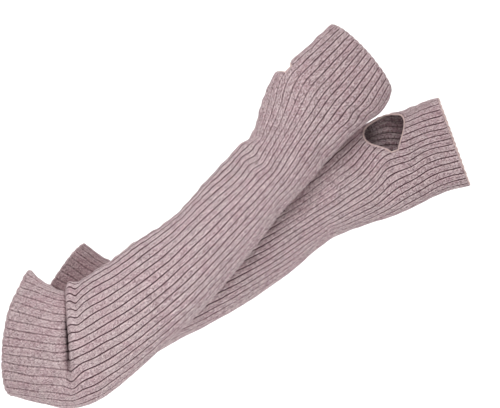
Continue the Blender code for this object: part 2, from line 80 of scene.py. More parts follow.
FoldPoint = namedtuple("FoldPoint", "along height")
ELBOW_FOLD = (
    FoldPoint(-20.0, 0.0),
    FoldPoint(-9.0, -0.6),
    FoldPoint(-4.0, -1.8),
    FoldPoint(1.0, -8.0),
    FoldPoint(2.2, 0.8),
    FoldPoint(5.5, 3.2),
    FoldPoint(11.0, 1.8),
    FoldPoint(18.0, 0.0),
)
FOLD_FULL = 80.0           # degrees round from the inside of the elbow where the fold is whole
FOLD_GONE = 138.0
FOLD_SOFTNESS = 1.2        # mm either way over which its corners are rounded
FOLD_RUN_IN = 4.0          # mm before and behind it over which the cloth begins to follow it

# A ring across the arm: its middle, the way it faces in the upright plane in degrees up from
# +X, how far it turns away from the front, and its half width and half depth.
Section = namedtuple("Section", "name x y z facing turn half_width half_depth")

FRONT_SECTIONS = (
    Section("hem", -177, 12, -87, -8, -20, 60, 36),
    Section("upper arm", -163, 5, -93.5, -4, -12, 57, 37),
    Section("above elbow", -148, -1, -99, -1, -5, 55, 37),
    Section("crease", -134, -5, -102, 2, 2, 55, 37),
    Section("elbow roll", -125, -8, -99.5, 4.5, 4, 56, 38),
    Section("elbow", -112, -10, -94.5, 7, 4, 56.5, 38),
    Section("below elbow", -97, -10, -84, 9, 3, 56.5, 38),
    Section("forearm top", -78, -8, -69, 13, 4, 53.5, 38),
    Section("forearm wide", -55, -6, -50, 20, 4, 49, 37),
    Section("forearm upper", -27, -3, -27, 30, 4, 43.5, 35.5),
    Section("forearm middle", 0, 0, 0, 39, 3, 39.5, 33.5),
    Section("forearm lower", 28, 2, 32, 42, 3, 37, 31),
    Section("above wrist", 51, 4, 59, 41, 2, 35.5, 28),
    Section("wrist", 67, 5, 76, 46, 0, 35.5, 26),
    Section("heel of hand", 81, 5, 97, 57, -1, 39, 25),
    Section("palm low", 95, 4, 118, 63, 0, 43.5, 25),
    Section("thumb", 109, 4, 137, 59, 4, 48, 26),
    Section("palm", 124, 6, 149, 56, 9, 48, 25),
    Section("knuckles", 137.3, 11, 161.9, 50, 15, 45.3, 24),
    Section("finger end", 148, 18, 175, 41, 20, 42.5, 23),
)

BACK_SECTIONS = (
    Section("hem", -153, 94, -52, -32, -8, 55.5, 36),
    Section("upper arm", -136, 89, -62, -34, -12, 54, 37),
    Section("above elbow", -118, 85, -73, -26, -9, 55, 37),
    Section("crease", -109, 82, -78, -22, -6, 56, 37),
    Section("elbow roll", -101, 80, -77, -18, -5, 58, 38),
    Section("elbow", -87, 78, -76, -12, -4, 55.5, 38),
    Section("below elbow", -69, 75, -70, -2, -4, 50.5, 38),
    Section("forearm top", -45, 72, -56, 14, -4, 45, 36.5),
    Section("forearm middle", -15, 69, -41, 23, -4, 43.5, 35.5),
    Section("forearm lower", 20, 66, -24, 33, -4, 40, 33),
    Section("above wrist", 56, 62, -3, 39, -4, 36.5, 30),
    Section("wrist", 93, 59, 24, 38, -4, 33.5, 27),
    Section("heel of hand", 115, 56, 40, 33, -6, 36.5, 26.5),
    Section("palm low", 140, 51, 56, 22, -7, 42, 26),
    Section("thumb", 164, 45, 67, 20, -7, 45, 25),
    Section("palm", 189, 39, 78, 18, -7, 45, 24),
    Section("knuckles", 214, 33, 89, 20, -7, 43.5, 23),
    Section("finger end", 239, 27, 96, 20, -7, 44, 23),
)

# A thumb opening is a slot across the ribs, pulled open. at is its place along the arm, rib and
# half_ribs its middle and half its width in ribs, drawn_back and pushed_on how far its middle
# opens towards the arm end and towards the fingers, and sunk how far its finger side sinks in.
ThumbSlot = namedtuple("ThumbSlot", "at rib half_ribs drawn_back pushed_on sunk")
SLOT_HALF_LENGTH = 4.5
SLOT_REACH = 52.0          # before it, over which its opening dies away in the knit
SLOT_FINE_REACH = 0.7 * SLOT_REACH   # before it, where the mesh's rows are closer
SLOT_ROWS = 4
SLOT_ROUNDING = 1.5
MM_PER_RIB = 6.3

# A soft trough, or a ridge where depth is below 0: its middle, its depth, its half sizes along
# the arm and in ribs, and how far it slants along the arm for each rib.
Crease = namedtuple("Crease", "at rib depth across ribs lean")

FRONT_CREASES = (
    Crease(0, 0.0, -0.8, 14.0, 0.8, 0.0),
    Crease(0, 3.2, 6.0, 15.0, 2.2, 0.0),
    Crease(0, -2.6, 7.5, 15.0, 1.9, 0.0),
    Crease(56, 0.5, -2.4, 8.0, 3.0, 0.5),
    Crease(65.5, 4.5, 1.7, 3.6, 3.6, 0.0),
    Crease(54.0, 8.6, 8.0, 2.4, 3.0, 0.0),
    Crease(50.5, 10.0, 2.0, 3.0, 4.0, 0.0),
    Crease(116, 0.5, 2.4, 28.0, 4.0, 0.0),
    Crease(212, 0.5, 2.2, 32.0, 4.0, 0.0),
    Crease(336, 0.5, 2.6, 20.0, 4.0, 0.0),
    Crease(326, 2.5, 2.6, 6.0, 2.6, 3.2),
    Crease(312, 3.0, -1.6, 6.0, 2.4, 3.2),
    Crease(306, 11.5, 2.2, 6.5, 2.4, -2.8),
    Crease(334, 10.5, -1.4, 7.0, 2.6, -2.6),
    Crease(352, 15.0, 2.0, 7.0, 2.0, -2.0),
    Crease(402, 15.0, 2.4, 7.0, 2.4, 2.6),
    Crease(386, 14.5, -1.4, 6.0, 2.2, 2.6),
    Crease(26, 13.0, -2.0, 8.0, 2.6, 3.0),
    Crease(322, 24.0, 2.2, 7.0, 4.0, 1.0),
    Crease(338, 30.0, -1.4, 7.0, 3.0, -1.5),
    Crease(104, 28.0, 2.0, 8.0, 3.5, 1.5),
)

BACK_CREASES = (
    Crease(0, 4.0, -2.0, 12.0, 2.5, 0.0),
    Crease(392.5, -2.0, -5.5, 9.0, 2.2, 0.0),
    Crease(292, 8.0, 1.8, 8.0, 3.5, 1.8),
    Crease(310, 5.0, -1.4, 7.0, 3.0, 2.0),
    Crease(300, 15.0, 1.6, 7.0, 3.0, -1.6),
    Crease(296, 26.0, 2.0, 8.0, 4.0, 1.0),
    Crease(316, 30.0, -1.4, 7.0, 3.0, -1.4),
    Crease(376, 9.0, 2.4, 7.0, 2.6, -5.4),
    Crease(413, 11.0, 1.3, 8.0, 4.0, 1.2),
    Crease(26, 6.0, 2.0, 8.0, 3.0, 2.0),
    Crease(28, 22.0, 2.0, 9.0, 3.0, -2.0),
)

# How far the worn ribs drift round the arm from an even spread, in ribs. One row for each
# DRIFT_ROW_GAP mm from the arm end, the first a row before it, and twelve values round.
DRIFT_ROW_GAP = 20.0

FRONT_DRIFT = (
    (0.2, 0.6, 1, 1.3, 1.2, 0.8, 0.4, 0.1, 0, 0, 0, 0),
    (0, 0.1, 0.3, 0.5, 0.5, 0.4, 0.2, 0, 0, 0, 0, 0),
    (-0.1, -0.2, -0.3, -0.4, -0.4, -0.4, -0.2, -0.1, 0, 0, 0, 0),
    (-0.1, -0.3, -0.5, -0.8, -0.9, -0.9, -0.6, -0.1, 0, 0, 0, 0),
    (-0.2, -0.5, -0.7, -1, -1.1, -1.1, -0.7, -0.2, 0, 0, 0, 0),
    (-0.2, -0.5, -0.9, -1.1, -1.2, -1.2, -0.8, -0.2, 0, 0, 0, 0),
    (-0.1, -0.3, -0.6, -0.8, -0.8, -1, -0.8, -0.2, 0, 0, 0, 0),
    (0.1, 0, -0.2, -0.3, -0.5, -0.7, -0.6, -0.2, 0, 0, 0, 0),
    (0.3, 0.3, 0, -0.1, -0.3, -0.5, -0.4, -0.1, 0, 0, 0, 0.1),
    (0.3, 0.4, 0.2, 0.1, -0.1, -0.4, -0.4, -0.1, 0, 0, 0, 0.1),
    (0.2, 0.3, 0.2, 0.1, -0.1, -0.4, -0.3, -0.1, 0, 0, 0, 0.1),
    (0.2, 0.3, 0.2, 0.1, -0.2, -0.4, -0.3, -0.1, 0, 0, 0, 0),
    (0.2, 0.3, 0.3, 0.2, -0.1, -0.3, -0.3, -0.1, 0, 0, 0, 0),
    (0.2, 0.3, 0.4, 0.3, 0, -0.2, -0.2, -0.1, 0, 0, 0, 0),
    (0.4, 0.6, 0.6, 0.5, 0.2, 0, 0, 0, 0, 0, 0, 0.1),
    (0.6, 1.1, 1, 0.7, 0.4, 0.2, 0.1, 0, 0, 0, 0, 0.1),
    (0.9, 1.5, 1.3, 0.9, 0.6, 0.4, 0.2, 0, 0, 0, 0, 0.2),
    (1, 1.3, 1.1, 0.9, 0.9, 0.6, 0.3, 0.1, 0, 0, 0, 0.2),
    (1, 1.2, 0.9, 0.4, 0.2, 0.3, 0.2, 0.1, 0, -0.1, 0, 0.2),
    (1, 1.2, 0.9, 0.5, 0.2, 0.2, 0.3, 0.2, 0.1, 0, 0.1, 0.2),
    (0.4, 0.8, 0.5, 0.3, 0.3, 0.4, 0.5, 0.4, 0.4, 0.4, 0.2, 0.1),
    (-0.6, -0.5, 0, 0.4, 0.4, 0.6, 0.7, 0.8, 1.1, 1.1, 0.6, 0),
    (-0.3, -0.6, -0.7, -0.2, 0, 0, 0.1, 0.1, 0.1, 0.1, 0.1, -0.1),
    (-0.5, -0.9, -1.1, -0.7, -0.5, -0.8, -0.6, -0.1, 0, 0, 0, -0.1),
    (-0.6, -1.1, -1.2, -1, -0.8, -0.8, -0.6, -0.1, 0.1, 0.1, 0.1, -0.2),
    (-0.6, -0.9, -1.2, -1.4, -1.2, -0.8, -0.5, -0.2, -0.1, -0.1, -0.1, -0.2),
    (-0.4, -0.9, -1.2, -1.5, -1.3, -0.9, -0.5, -0.1, 0, 0, 0, -0.1),
)

BACK_DRIFT = (
    (0.1, 0.1, 0.1, 0.1, 0.1, 0, 0, 0, 0, 0, 0, 0),
    (0, 0, 0, 0, 0, 0, 0, 0, 0, 0, 0, 0),
    (0, 0, -0.1, -0.1, -0.1, -0.1, 0, 0, 0, 0, 0, 0),
    (0, -0.1, -0.2, -0.2, -0.1, -0.1, 0, 0, 0, 0, 0, 0),
    (-0.1, -0.1, -0.2, -0.2, -0.1, -0.1, 0, 0, 0, 0, 0, 0),
    (-0.1, -0.1, -0.1, -0.1, -0.1, -0.1, 0, 0, 0, 0, 0, 0),
    (0, -0.1, -0.1, -0.1, -0.1, -0.1, 0, 0, 0, 0, 0, 0),
    (0, -0.1, -0.1, -0.1, -0.1, -0.1, 0, 0, 0, 0, 0, 0),
    (0, 0, 0, -0.1, -0.1, -0.1, 0, 0, 0, 0, 0, 0),
    (0, 0.1, 0.1, 0, 0, -0.1, -0.1, 0, 0, 0, 0, 0),
    (0.1, 0.2, 0.3, 0.2, 0, -0.2, -0.2, -0.1, 0, 0, 0, 0),
    (0.2, 0.4, 0.5, 0.4, 0.1, -0.2, -0.3, -0.1, 0, 0, 0, 0),
    (0.4, 0.7, 0.8, 0.6, 0.2, -0.2, -0.2, -0.1, 0, 0, 0, 0.1),
    (0.5, 1, 1.1, 0.9, 0.4, -0.1, -0.2, -0.1, 0, 0, 0, 0.1),
    (0.7, 1.3, 1.4, 1.1, 0.6, 0.2, 0, 0, 0, 0, 0, 0.1),
    (1, 1.7, 1.8, 1.5, 0.9, 0.5, 0.2, 0, 0, -0.1, 0, 0.2),
    (1.2, 2, 2, 1.7, 1.1, 0.6, 0.3, 0.1, 0, 0, 0, 0.2),
    (1.6, 2.4, 2.3, 1.9, 1.3, 0.8, 0.4, 0.1, -0.1, -0.1, -0.1, 0.2),
    (1.4, 2.2, 2.1, 1.8, 1.4, 0.9, 0.5, 0.2, 0.1, 0.2, 0.3, 0.5),
    (0.7, 1.1, 1.9, 1.7, 1.2, 0.8, 0.4, 0.2, 0.2, 0.5, 0.7, 0.8),
    (0.4, -0.6, -0.8, 0.1, 0.3, 0, 0.2, 0.6, 1.3, 2.6, 2.3, 1.4),
    (0, -0.6, -1.1, -1, -0.3, -0.3, -0.1, 0.2, 0.4, 0.9, 1.1, 0.8),
    (-0.4, -0.5, -0.6, -0.7, -0.6, -0.4, -0.3, -0.2, -0.2, -0.5, -0.5, -0.5),
    (-0.3, -0.7, -0.9, -0.9, -0.8, -0.8, -0.5, 0, 0.2, 0.4, 0.4, 0.2),
    (-0.6, -0.5, -0.3, -0.2, -0.4, -0.5, -0.4, -0.2, -0.2, -0.4, -0.5, -0.5),
    (0.2, -2, -4, -4.3, -3.1, -1.7, -0.5, 0.4, 1.3, 2.2, 2.5, 1.7),
)

# Where ribs sag further round still, over a small patch: its place, how many ribs they sag by,
# and its half sizes along the arm and in ribs.
Sag = namedtuple("Sag", "at rib by across ribs")

FRONT_SAGS = (
    Sag(77, 4.5, 0.55, 7.0, 3.6),
    Sag(62, 13.2, 0.9, 9.0, 2.4),
    Sag(309, 3.5, -0.4, 7.0, 2.6),
    Sag(322, 5.5, 0.4, 7.0, 3.0),
)

BACK_SAGS = (
    Sag(386, 9.5, -0.5, 10.0, 2.6),
    Sag(410, 10.0, 0.3, 9.0, 3.0),
)

Warmer = namedtuple("Warmer", "name sections slot creases fold drift sags")
FRONT = Warmer(
    "front", FRONT_SECTIONS, ThumbSlot(400.5, -3.5, 6.5, 5, 20, 5), FRONT_CREASES, 1.0, FRONT_DRIFT,
    FRONT_SAGS,
)
BACK = Warmer(
    "back", BACK_SECTIONS, ThumbSlot(392.5, 3, 5, 20, 14, 3), BACK_CREASES, 0.6, BACK_DRIFT,
    BACK_SAGS,
)

# A regular wave in the knit: its size, the mm along for each radian, and its slant in radians a rib
Wave = namedtuple("Wave", "size pitch slant")
RIB_UNEVENNESS = (Wave(0.10, 9.7, 2.1), Wave(0.08, 4.3, -1.2))    # of a rib's height
RIB_WANDER = (Wave(0.05, 13.0, 0.9), Wave(0.035, 5.9, -1.7))      # in ribs
CLOTH_WAVES = (Wave(0.34, 2.3, 0.8), Wave(0.34 * 0.8, 4.1, -0.6))   # in mm
CLOTH_WAVE_DRIFT = 21.0    # mm over which the first of them slows and quickens
WAVES_ELSEWHERE = 0.25     # their share away from the top of the arm
WAVES_REACH = 3.0          # ribs either side of it
CALM_BY_ENDS = 12.0        # mm from a cut edge and from the slot within which they die away
CALM_BY_SLOT = 14.0

TABLE_POINTS = 900
SOFT_TAPS = np.linspace(-1, 1, 7)
SOFT_WEIGHTS = 1 - 0.8 * SOFT_TAPS**2


def smooth_step(x):
    x = np.clip(x, 0.0, 1.0)
    return x * x * (3 - 2 * x)


def smooth_table(knots, rows):
    """The rows joined by a curve without corners, read off at TABLE_POINTS places."""
    rows = np.asarray(rows, float)
    slopes = np.gradient(rows, knots, axis=0)
    fine = np.linspace(knots[0], knots[-1], TABLE_POINTS)
    left = np.clip(np.searchsorted(knots, fine, side="right") - 1, 0, len(knots) - 2)
    span = (knots[left + 1] - knots[left])[:, None]
    s = (fine - knots[left])[:, None] / span
    ends = (2 * s**3 - 3 * s**2 + 1) * rows[left] + (3 * s**2 - 2 * s**3) * rows[left + 1]
    bends = (s**3 - 2 * s**2 + s) * slopes[left] + (s**3 - s**2) * slopes[left + 1]
    return fine, ends + bends * span


def spline_shares(share):
    """What the four nearest control values give at share of the way between the middle two."""
    back = 1 - share
    return (
        back**3 / 6,
        (3 * share**3 - 6 * share**2 + 4) / 6,
        (3 * back**3 - 6 * back**2 + 4) / 6,
        share**3 / 6,
    )


def smooth_interp(x, knots, values, softness):
    """Interpolates with the corners rounded over softness either side."""
    taps = zip(SOFT_TAPS, SOFT_WEIGHTS)
    total = sum(weight * np.interp(x + tap * softness, knots, values) for tap, weight in taps)
    return total / SOFT_WEIGHTS.sum()


def ribs_aside(rib, middle):
    """How many ribs a rib lies from the middle one, the shorter way round."""
    return (rib - middle + RIBS / 2) % RIBS - RIBS / 2


def add_waves(length, rib, rows):
    return sum(row.size * np.sin(length / row.pitch + row.slant * rib) for row in rows)


class Sleeve:
    """One warmer's middle surface: where a place (length, rib) on the knit lies, in mm."""

    def __init__(self, warmer):
        self.warmer = warmer
        columns = np.array([row[1:] for row in warmer.sections], float)
        steps = np.linalg.norm(np.diff(columns[:, :3], axis=0), axis=1)
        self.section_at = np.concatenate([[0.0], np.cumsum(steps)])
        self.fine_at, self.fine = smooth_table(self.section_at, columns)
        names = [row.name for row in warmer.sections]
        crease, roll = names.index("crease"), names.index("elbow roll")
        self.fold_at = (self.section_at[crease] + self.section_at[roll]) / 2
        fold = np.array(ELBOW_FOLD) * (1.0, warmer.fold)
        paths = np.linalg.norm(np.diff(fold, axis=0), axis=1)
        self.fold_lengths = self.fold_at + fold[0, 0] + np.concatenate([[0.0], np.cumsum(paths)])
        self.fold_alongs = self.fold_at + fold[:, 0]
        self.fold_heights = fold[:, 1]
        self.taken_up = paths.sum() - (fold[-1, 0] - fold[0, 0])
        self.length = self.section_at[-1] + self.taken_up
        self.knit_end = self.length - EDGE_WIDTH - SEAM_GAP
        self.slot_length = warmer.slot.at + self.taken_up
        self.drift = np.array(warmer.drift)

    def unfolded(self, length):
        """The place along the arm if there were no fold, evenly spread over the fold's cloth."""
        knots = [0.0, self.fold_lengths[0], self.fold_lengths[-1], self.length]
        places = [0.0, self.fold_alongs[0], self.fold_alongs[-1], self.section_at[-1]]
        return np.interp(length, knots, places)

    def folded(self, length):
        """The place along the arm with the fold whole, as straight runs outside it."""
        knots = [0.0, *self.fold_lengths, self.length]
        places = [0.0, *self.fold_alongs, self.section_at[-1]]
        return smooth_interp(length, knots, places, FOLD_SOFTNESS)

    def rib_angle(self, rib, half_width, half_depth):
        """The angle that spaces the ribs evenly round a flattened ring."""
        even = 2 * np.pi * rib / RIBS
        flatness = (half_width - half_depth) / (half_width + half_depth)
        return even + 0.5 * flatness * np.sin(2 * even)

    def crease_height(self, along, rib):
        height = np.zeros(np.broadcast(along, rib).shape)
        for row in self.warmer.creases:
            aside = ribs_aside(rib, row.rib)
            ahead = along - row.at - row.lean * aside
            height -= row.depth * np.exp(-((ahead / row.across) ** 2) - (aside / row.ribs) ** 2)
        return height

    def points(self, length, rib):
        """The middle surface at arrays of lengths and ribs, as (..., 3) in mm."""
        plain = self.unfolded(length)
        middle = [np.interp(plain, self.fine_at, self.fine[:, i]) for i in (5, 6)]
        angle = self.rib_angle(rib, *middle)
        round_from_top = np.abs((np.degrees(angle) + 180) % 360 - 180)
        fold = 1 - smooth_step((round_from_top - FOLD_FULL) / (FOLD_GONE - FOLD_FULL))
        first, last = self.fold_lengths[0], self.fold_lengths[-1]
        run_in = smooth_step((length - first + FOLD_RUN_IN) / FOLD_RUN_IN)
        run_out = smooth_step((last + FOLD_RUN_IN - length) / FOLD_RUN_IN)
        along = plain + (self.folded(length) - plain) * fold * run_in * run_out
        height = smooth_interp(length, self.fold_lengths, self.fold_heights, FOLD_SOFTNESS) * fold
        height = height + self.crease_height(along, rib)
        x, y, z, facing, turn, wide, deep = (
            np.interp(along, self.fine_at, self.fine[:, i]) for i in range(7)
        )
        facing, turn = np.radians(facing), np.radians(turn)
        ahead = np.stack([np.cos(facing), np.zeros_like(x), np.sin(facing)], -1)
        top = np.stack([-np.sin(facing), np.zeros_like(x), np.cos(facing)], -1)
        front = np.array([0.0, -1.0, 0.0])
        near = np.cos(turn)[..., None] * front + np.sin(turn)[..., None] * ahead
        cosine, sine = np.cos(angle), np.sin(angle)
        out = (cosine / wide)[..., None] * top + (sine / deep)[..., None] * near
        out /= np.linalg.norm(out, axis=-1, keepdims=True)
        ring = (wide * cosine)[..., None] * top + (deep * sine)[..., None] * near
        return np.stack([x, y, z], -1) + ring + height[..., None] * out

    def normals(self, length, rib):
        nudge_along, nudge_round = 0.4, 0.04
        forward = self.points(length + nudge_along, rib) - self.points(length - nudge_along, rib)
        sideways = self.points(length, rib + nudge_round) - self.points(length, rib - nudge_round)
        normal = np.cross(sideways, forward)
        return normal / np.linalg.norm(normal, axis=-1, keepdims=True)

    def raised(self, length, rib, height):
        """The middle surface moved outwards by height mm, square to the cloth."""
        return self.points(length, rib) + np.asarray(height)[..., None] * self.normals(length, rib)

    def drifted(self, length, rib):
        """How many ribs further round a rib lies there than an even spread would put it."""
        rows, columns = self.drift.shape
        down, across = length / DRIFT_ROW_GAP, np.asarray(rib) * columns / RIBS
        first = np.clip(np.floor(down).astype(int), 0, rows - 4)
        start = np.floor(across).astype(int)
        total = 0.0
        for i, row_share in enumerate(spline_shares(down - first)):
            for j, column_share in enumerate(spline_shares(across - start)):
                held = self.drift[first + i, (start - 1 + j) % columns]
                total = total + held * row_share * column_share
        for row in self.warmer.sags:
            ahead, aside = (length - row.at) / row.across, ribs_aside(rib, row.rib) / row.ribs
            total = total + row.by * np.exp(-(ahead**2) - aside**2)
        return total

    def place(self, length, rib):
        """Where a place on the flat knit comes to lie: length along, rib round, and the height
        it sinks by, with the thumb slot pulled open.
        """
        slot = self.warmer.slot
        aside = ribs_aside(rib, slot.rib) / slot.half_ribs
        gape = np.clip(1 - aside**2, 0, None) ** SLOT_ROUNDING
        ahead = length - self.slot_length
        hand_reach = self.knit_end - self.slot_length - SLOT_HALF_LENGTH
        reach = np.where(ahead < 0, SLOT_REACH, hand_reach)
        gape = gape * (1 - smooth_step((np.abs(ahead) - SLOT_HALF_LENGTH) / reach))
        moved = length + np.where(ahead < 0, -slot.drawn_back, slot.pushed_on) * gape
        sunk = np.where(ahead < 0, 0.0, -slot.sunk) * gape
        return moved, rib + self.drifted(moved, rib), sunk

    def row_lengths(self):
        """Lengths of the mesh's rows: finer in the fold and round the thumb opening."""
        slot_start = self.slot_length - SLOT_HALF_LENGTH
        slot_end = self.slot_length + SLOT_HALF_LENGTH
        stops = [
            (0.0, ROW_STEP),
            (self.fold_lengths[0], FOLD_ROW_STEP),
            (self.fold_lengths[-1], ROW_STEP),
            (slot_start - SLOT_FINE_REACH, HAND_ROW_STEP),
            (slot_start, 2 * SLOT_HALF_LENGTH / SLOT_ROWS),
            (slot_end, HAND_ROW_STEP),
            (self.knit_end + KNIT_UNDER_EDGE, None),
        ]
        rows = [np.array([0.0])]
        for (start, step), (end, _) in zip(stops, stops[1:]):
            count = max(1, round((end - start) / step))
            rows.append(np.linspace(start, end, count + 1)[1:])
        return np.concatenate(rows)


def rib_relief(length, rib, height):
    """Height over the grooves: flat-topped ribs, a little uneven along the knit."""
    share = rib % 1.0
    to_groove = np.minimum(share, 1 - share)
    crown = 1 - RIB_CROWN + RIB_CROWN * np.sin(np.pi * share)
    ridge = (1 - np.exp(-((to_groove / GROOVE_WIDTH) ** 2))) * crown
    return height * ridge * (1 + add_waves(length, rib, RIB_UNEVENNESS))


def cloth_waves(length, rib):
    """Small waves in the stretched cloth, strongest along the top of the arm."""
    aside = ribs_aside(rib, 0)
    share = WAVES_ELSEWHERE + (1 - WAVES_ELSEWHERE) * np.exp(-((aside / WAVES_REACH) ** 2))
    quick, slow = CLOTH_WAVES
    pushed = length + quick.pitch * np.sin(length / CLOTH_WAVE_DRIFT)
    return share * (add_waves(pushed, aside, [quick]) + add_waves(length, aside, [slow]))


# Meshes

# In mm: how far apart two vertices still count as one, and a step that settles which side of a
# line a place exactly on it lies
KNIT_MERGE = 0.02
STRAND_MERGE = 0.005
TIE_BREAK = 0.01


def finish_piece(name, bm, material):
    mesh = bpy.data.meshes.new(name)
    bm.to_mesh(mesh)
    bm.free()
    mesh.polygons.foreach_set("use_smooth", [True] * len(mesh.polygons))
    mesh.materials.append(material)
    piece = bpy.data.objects.new(name, mesh)
    bpy.context.scene.collection.objects.link(piece)
    return piece


def grid_place(co, across, along):
    """The column and the row of a place on a fresh grid, whose side is 1 and whose middle is 0."""
    return round((co.x + 0.5) * across), round((co.y + 0.5) * along)


def grid_uvs(bm, us, vs):
    """Gives a fresh grid the UVs us across and vs along, in its own order of columns and rows."""
    layer = bm.loops.layers.uv.new("knit")
    across, along = len(us) - 1, len(vs) - 1
    for face in bm.faces:
        for loop in face.loops:
            column, row = grid_place(loop.vert.co, across, along)
            loop[layer].uv = (us[column], vs[row])


def square_grid(across, along):
    bm = bmesh.new()
    bmesh.ops.create_grid(bm, x_segments=across, y_segments=along, size=0.5)
    return bm


def place_grid(bm, points):
    """Moves a fresh grid's vertices to points, (along, across, 3) in mm."""
    along, across = points.shape[0] - 1, points.shape[1] - 1
    for vert in bm.verts:
        column, row = grid_place(vert.co, across, along)
        vert.co = points[row, column] * MM


def knit_tube(sleeve, rib_height, wall, outside, inside):
    """The ribbed tube, as one shell with a thumb opening cut in it."""
    slot = sleeve.warmer.slot
    ribs = np.append((np.arange(RIBS)[:, None] + np.array(RIB_SAMPLES)).ravel(), RIBS)
    lengths = sleeve.row_lengths()
    across, along = len(ribs) - 1, len(lengths) - 1
    length, rib = np.meshgrid(lengths, ribs, indexing="ij")
    to_slot = np.abs(length - sleeve.slot_length)
    wander = add_waves(length, rib, RIB_WANDER) * np.sin(np.pi * (rib % RIBS) / RIBS) ** 0.5
    wander *= smooth_step(to_slot / SLOT_REACH)
    moved_length, moved_rib, sunk = sleeve.place(length, rib + wander)
    calm = smooth_step(np.minimum(length, sleeve.knit_end - length) / CALM_BY_ENDS)
    calm *= smooth_step((to_slot - SLOT_HALF_LENGTH) / CALM_BY_SLOT)
    relief = rib_relief(length, rib, rib_height) + calm * cloth_waves(length, rib)
    points = sleeve.raised(moved_length, moved_rib, relief + sunk)
    bm = square_grid(across, along)
    grid_uvs(bm, ribs / RIBS, lengths * MM)
    cut = []
    for face in bm.faces:
        middle = face.calc_center_median()
        at = lengths[int((middle.y + 0.5) * along)] + TIE_BREAK
        beside = ribs_aside(ribs[int((middle.x + 0.5) * across)], slot.rib) + TIE_BREAK
        in_slot = -slot.half_ribs < beside < slot.half_ribs
        if in_slot and abs(at - sleeve.slot_length) < SLOT_HALF_LENGTH:
            cut.append(face)
    place_grid(bm, points)
    bmesh.ops.delete(bm, geom=cut, context="FACES")
    bmesh.ops.remove_doubles(bm, verts=bm.verts, dist=KNIT_MERGE * MM)
    piece = finish_piece(f"{sleeve.warmer.name}_knit", bm, outside)
    piece.data.materials.append(inside)
    thick = piece.modifiers.new("wall", "SOLIDIFY")
    thick.material_offset = 1
    thick.thickness = wall * MM
    thick.offset = -1.0
    thick.use_rim = True
    return piece


def ring_frames(centres, normals):
    """Tangents, normals and sideways directions of a closed path."""
    tangents = np.roll(centres, -1, axis=0) - np.roll(centres, 1, axis=0)
    tangents /= np.linalg.norm(tangents, axis=1, keepdims=True)
    normals = normals - tangents * (normals * tangents).sum(1, keepdims=True)
    normals /= np.linalg.norm(normals, axis=1, keepdims=True)
    return tangents, normals, np.cross(tangents, normals)


def closed_strand(centres, normals, radii, sides):
    """A closed tube round a path, as a grid with its two pairs of edges merged."""
    _, up, aside = ring_frames(centres, normals)
    angles = np.linspace(0, 2 * np.pi, sides + 1)
    ring = (
        centres[:, None]
        + radii[0] * np.cos(angles)[None, :, None] * up[:, None]
        + radii[1] * np.sin(angles)[None, :, None] * aside[:, None]
    )
    ring = np.concatenate([ring, ring[:1]])
    bm = square_grid(sides, len(centres))
    grid_uvs(bm, np.linspace(0, 1, sides + 1), np.linspace(0, 1, len(centres) + 1))
    place_grid(bm, ring)
    bmesh.ops.remove_doubles(bm, verts=bm.verts, dist=STRAND_MERGE * MM)
    bmesh.ops.recalc_face_normals(bm, faces=bm.faces)
    return bm


def join_into(bm, other):
    mesh = bpy.data.meshes.new("join")
    other.to_mesh(mesh)
    other.free()
    bm.from_mesh(mesh)
    bpy.data.meshes.remove(mesh)


def spaced_loop(centres, normals, count):
    """The closed path read again at count evenly spaced points."""
    closed = np.concatenate([centres, centres[:1]])
    ups = np.concatenate([normals, normals[:1]])
    steps = np.concatenate([[0.0], np.cumsum(np.linalg.norm(np.diff(closed, axis=0), axis=1))])
    places = np.linspace(0, steps[-1], count + 1)[:-1]
    read = [
        np.stack([np.interp(places, steps, path[:, i]) for i in range(3)], -1)
        for path in (closed, ups)
    ]
    return *read, steps[-1]


# Yarn wrapped round an edge: the points that the edge's length is read from, the sides of its
# core, the points of one turn and the sides of the yarn. The turns lean along the edge by a share
# of their step, and their tightness has two waves, each with its size, its share of a turn's
# phase and its start.
LENGTH_POINTS = 64
CORE_SIDES = 8
TURN_POINTS = 10
YARN_SIDES = 5
TURN_LEAN = 0.35
LEAN_START = 0.8
TURN_SLACK = ((0.06, 0.37, 0.0), (0.05, 0.11, 1.3))
YARN_REACH = 0.35          # of the yarn, from the core's surface to the yarn's middle
YARN_ROUNDING = (0.5, 0.62)


def wrapped_edge(name, centres, normals, core, yarn, turn_step, material):
    """A core along the cloth's edge with yarn wrapped round and round it."""
    _, _, around = spaced_loop(centres, normals, LENGTH_POINTS)
    turns = round(around / turn_step)
    core_centres, core_ups, _ = spaced_loop(centres, normals, turns * 2)
    bm = closed_strand(core_centres, core_ups, core, CORE_SIDES)
    middles, ups, _ = spaced_loop(centres, normals, turns * TURN_POINTS)
    tangents, ups, asides = ring_frames(middles, ups)
    phase = 2 * np.pi * np.arange(turns * TURN_POINTS) / TURN_POINTS
    slack = 1 + sum(size * np.sin(phase * share + start) for size, share, start in TURN_SLACK)
    reach = np.array(core) + YARN_REACH * yarn
    coil = (
        middles
        + (reach[0] * slack * np.cos(phase))[:, None] * ups
        + (reach[1] * slack * np.sin(phase))[:, None] * asides
        + (TURN_LEAN * turn_step * np.sin(phase + LEAN_START))[:, None] * tangents
    )
    radii = [share * yarn for share in YARN_ROUNDING]
    join_into(bm, closed_strand(coil, coil - middles, radii, YARN_SIDES))
    return finish_piece(name, bm, material)


# How far an edge is drawn in at each groove, and how high the ribs still stand in the overlock
FINGER_END_SCALLOP = 0.9
ARM_END_SCALLOP = 0.7
OVERLOCKED_RIB_HEIGHT = 0.45
POINTS_PER_RIB = 8
LIP_POINTS = 64
SIDE_POINTS = 6


def round_the_ribs(scallop):
    """Ribs once round, and how far an edge is drawn in at each."""
    rib = np.linspace(0, RIBS, RIBS * POINTS_PER_RIB + 1)[:-1]
    return rib, scallop * np.cos(np.pi * rib) ** 4


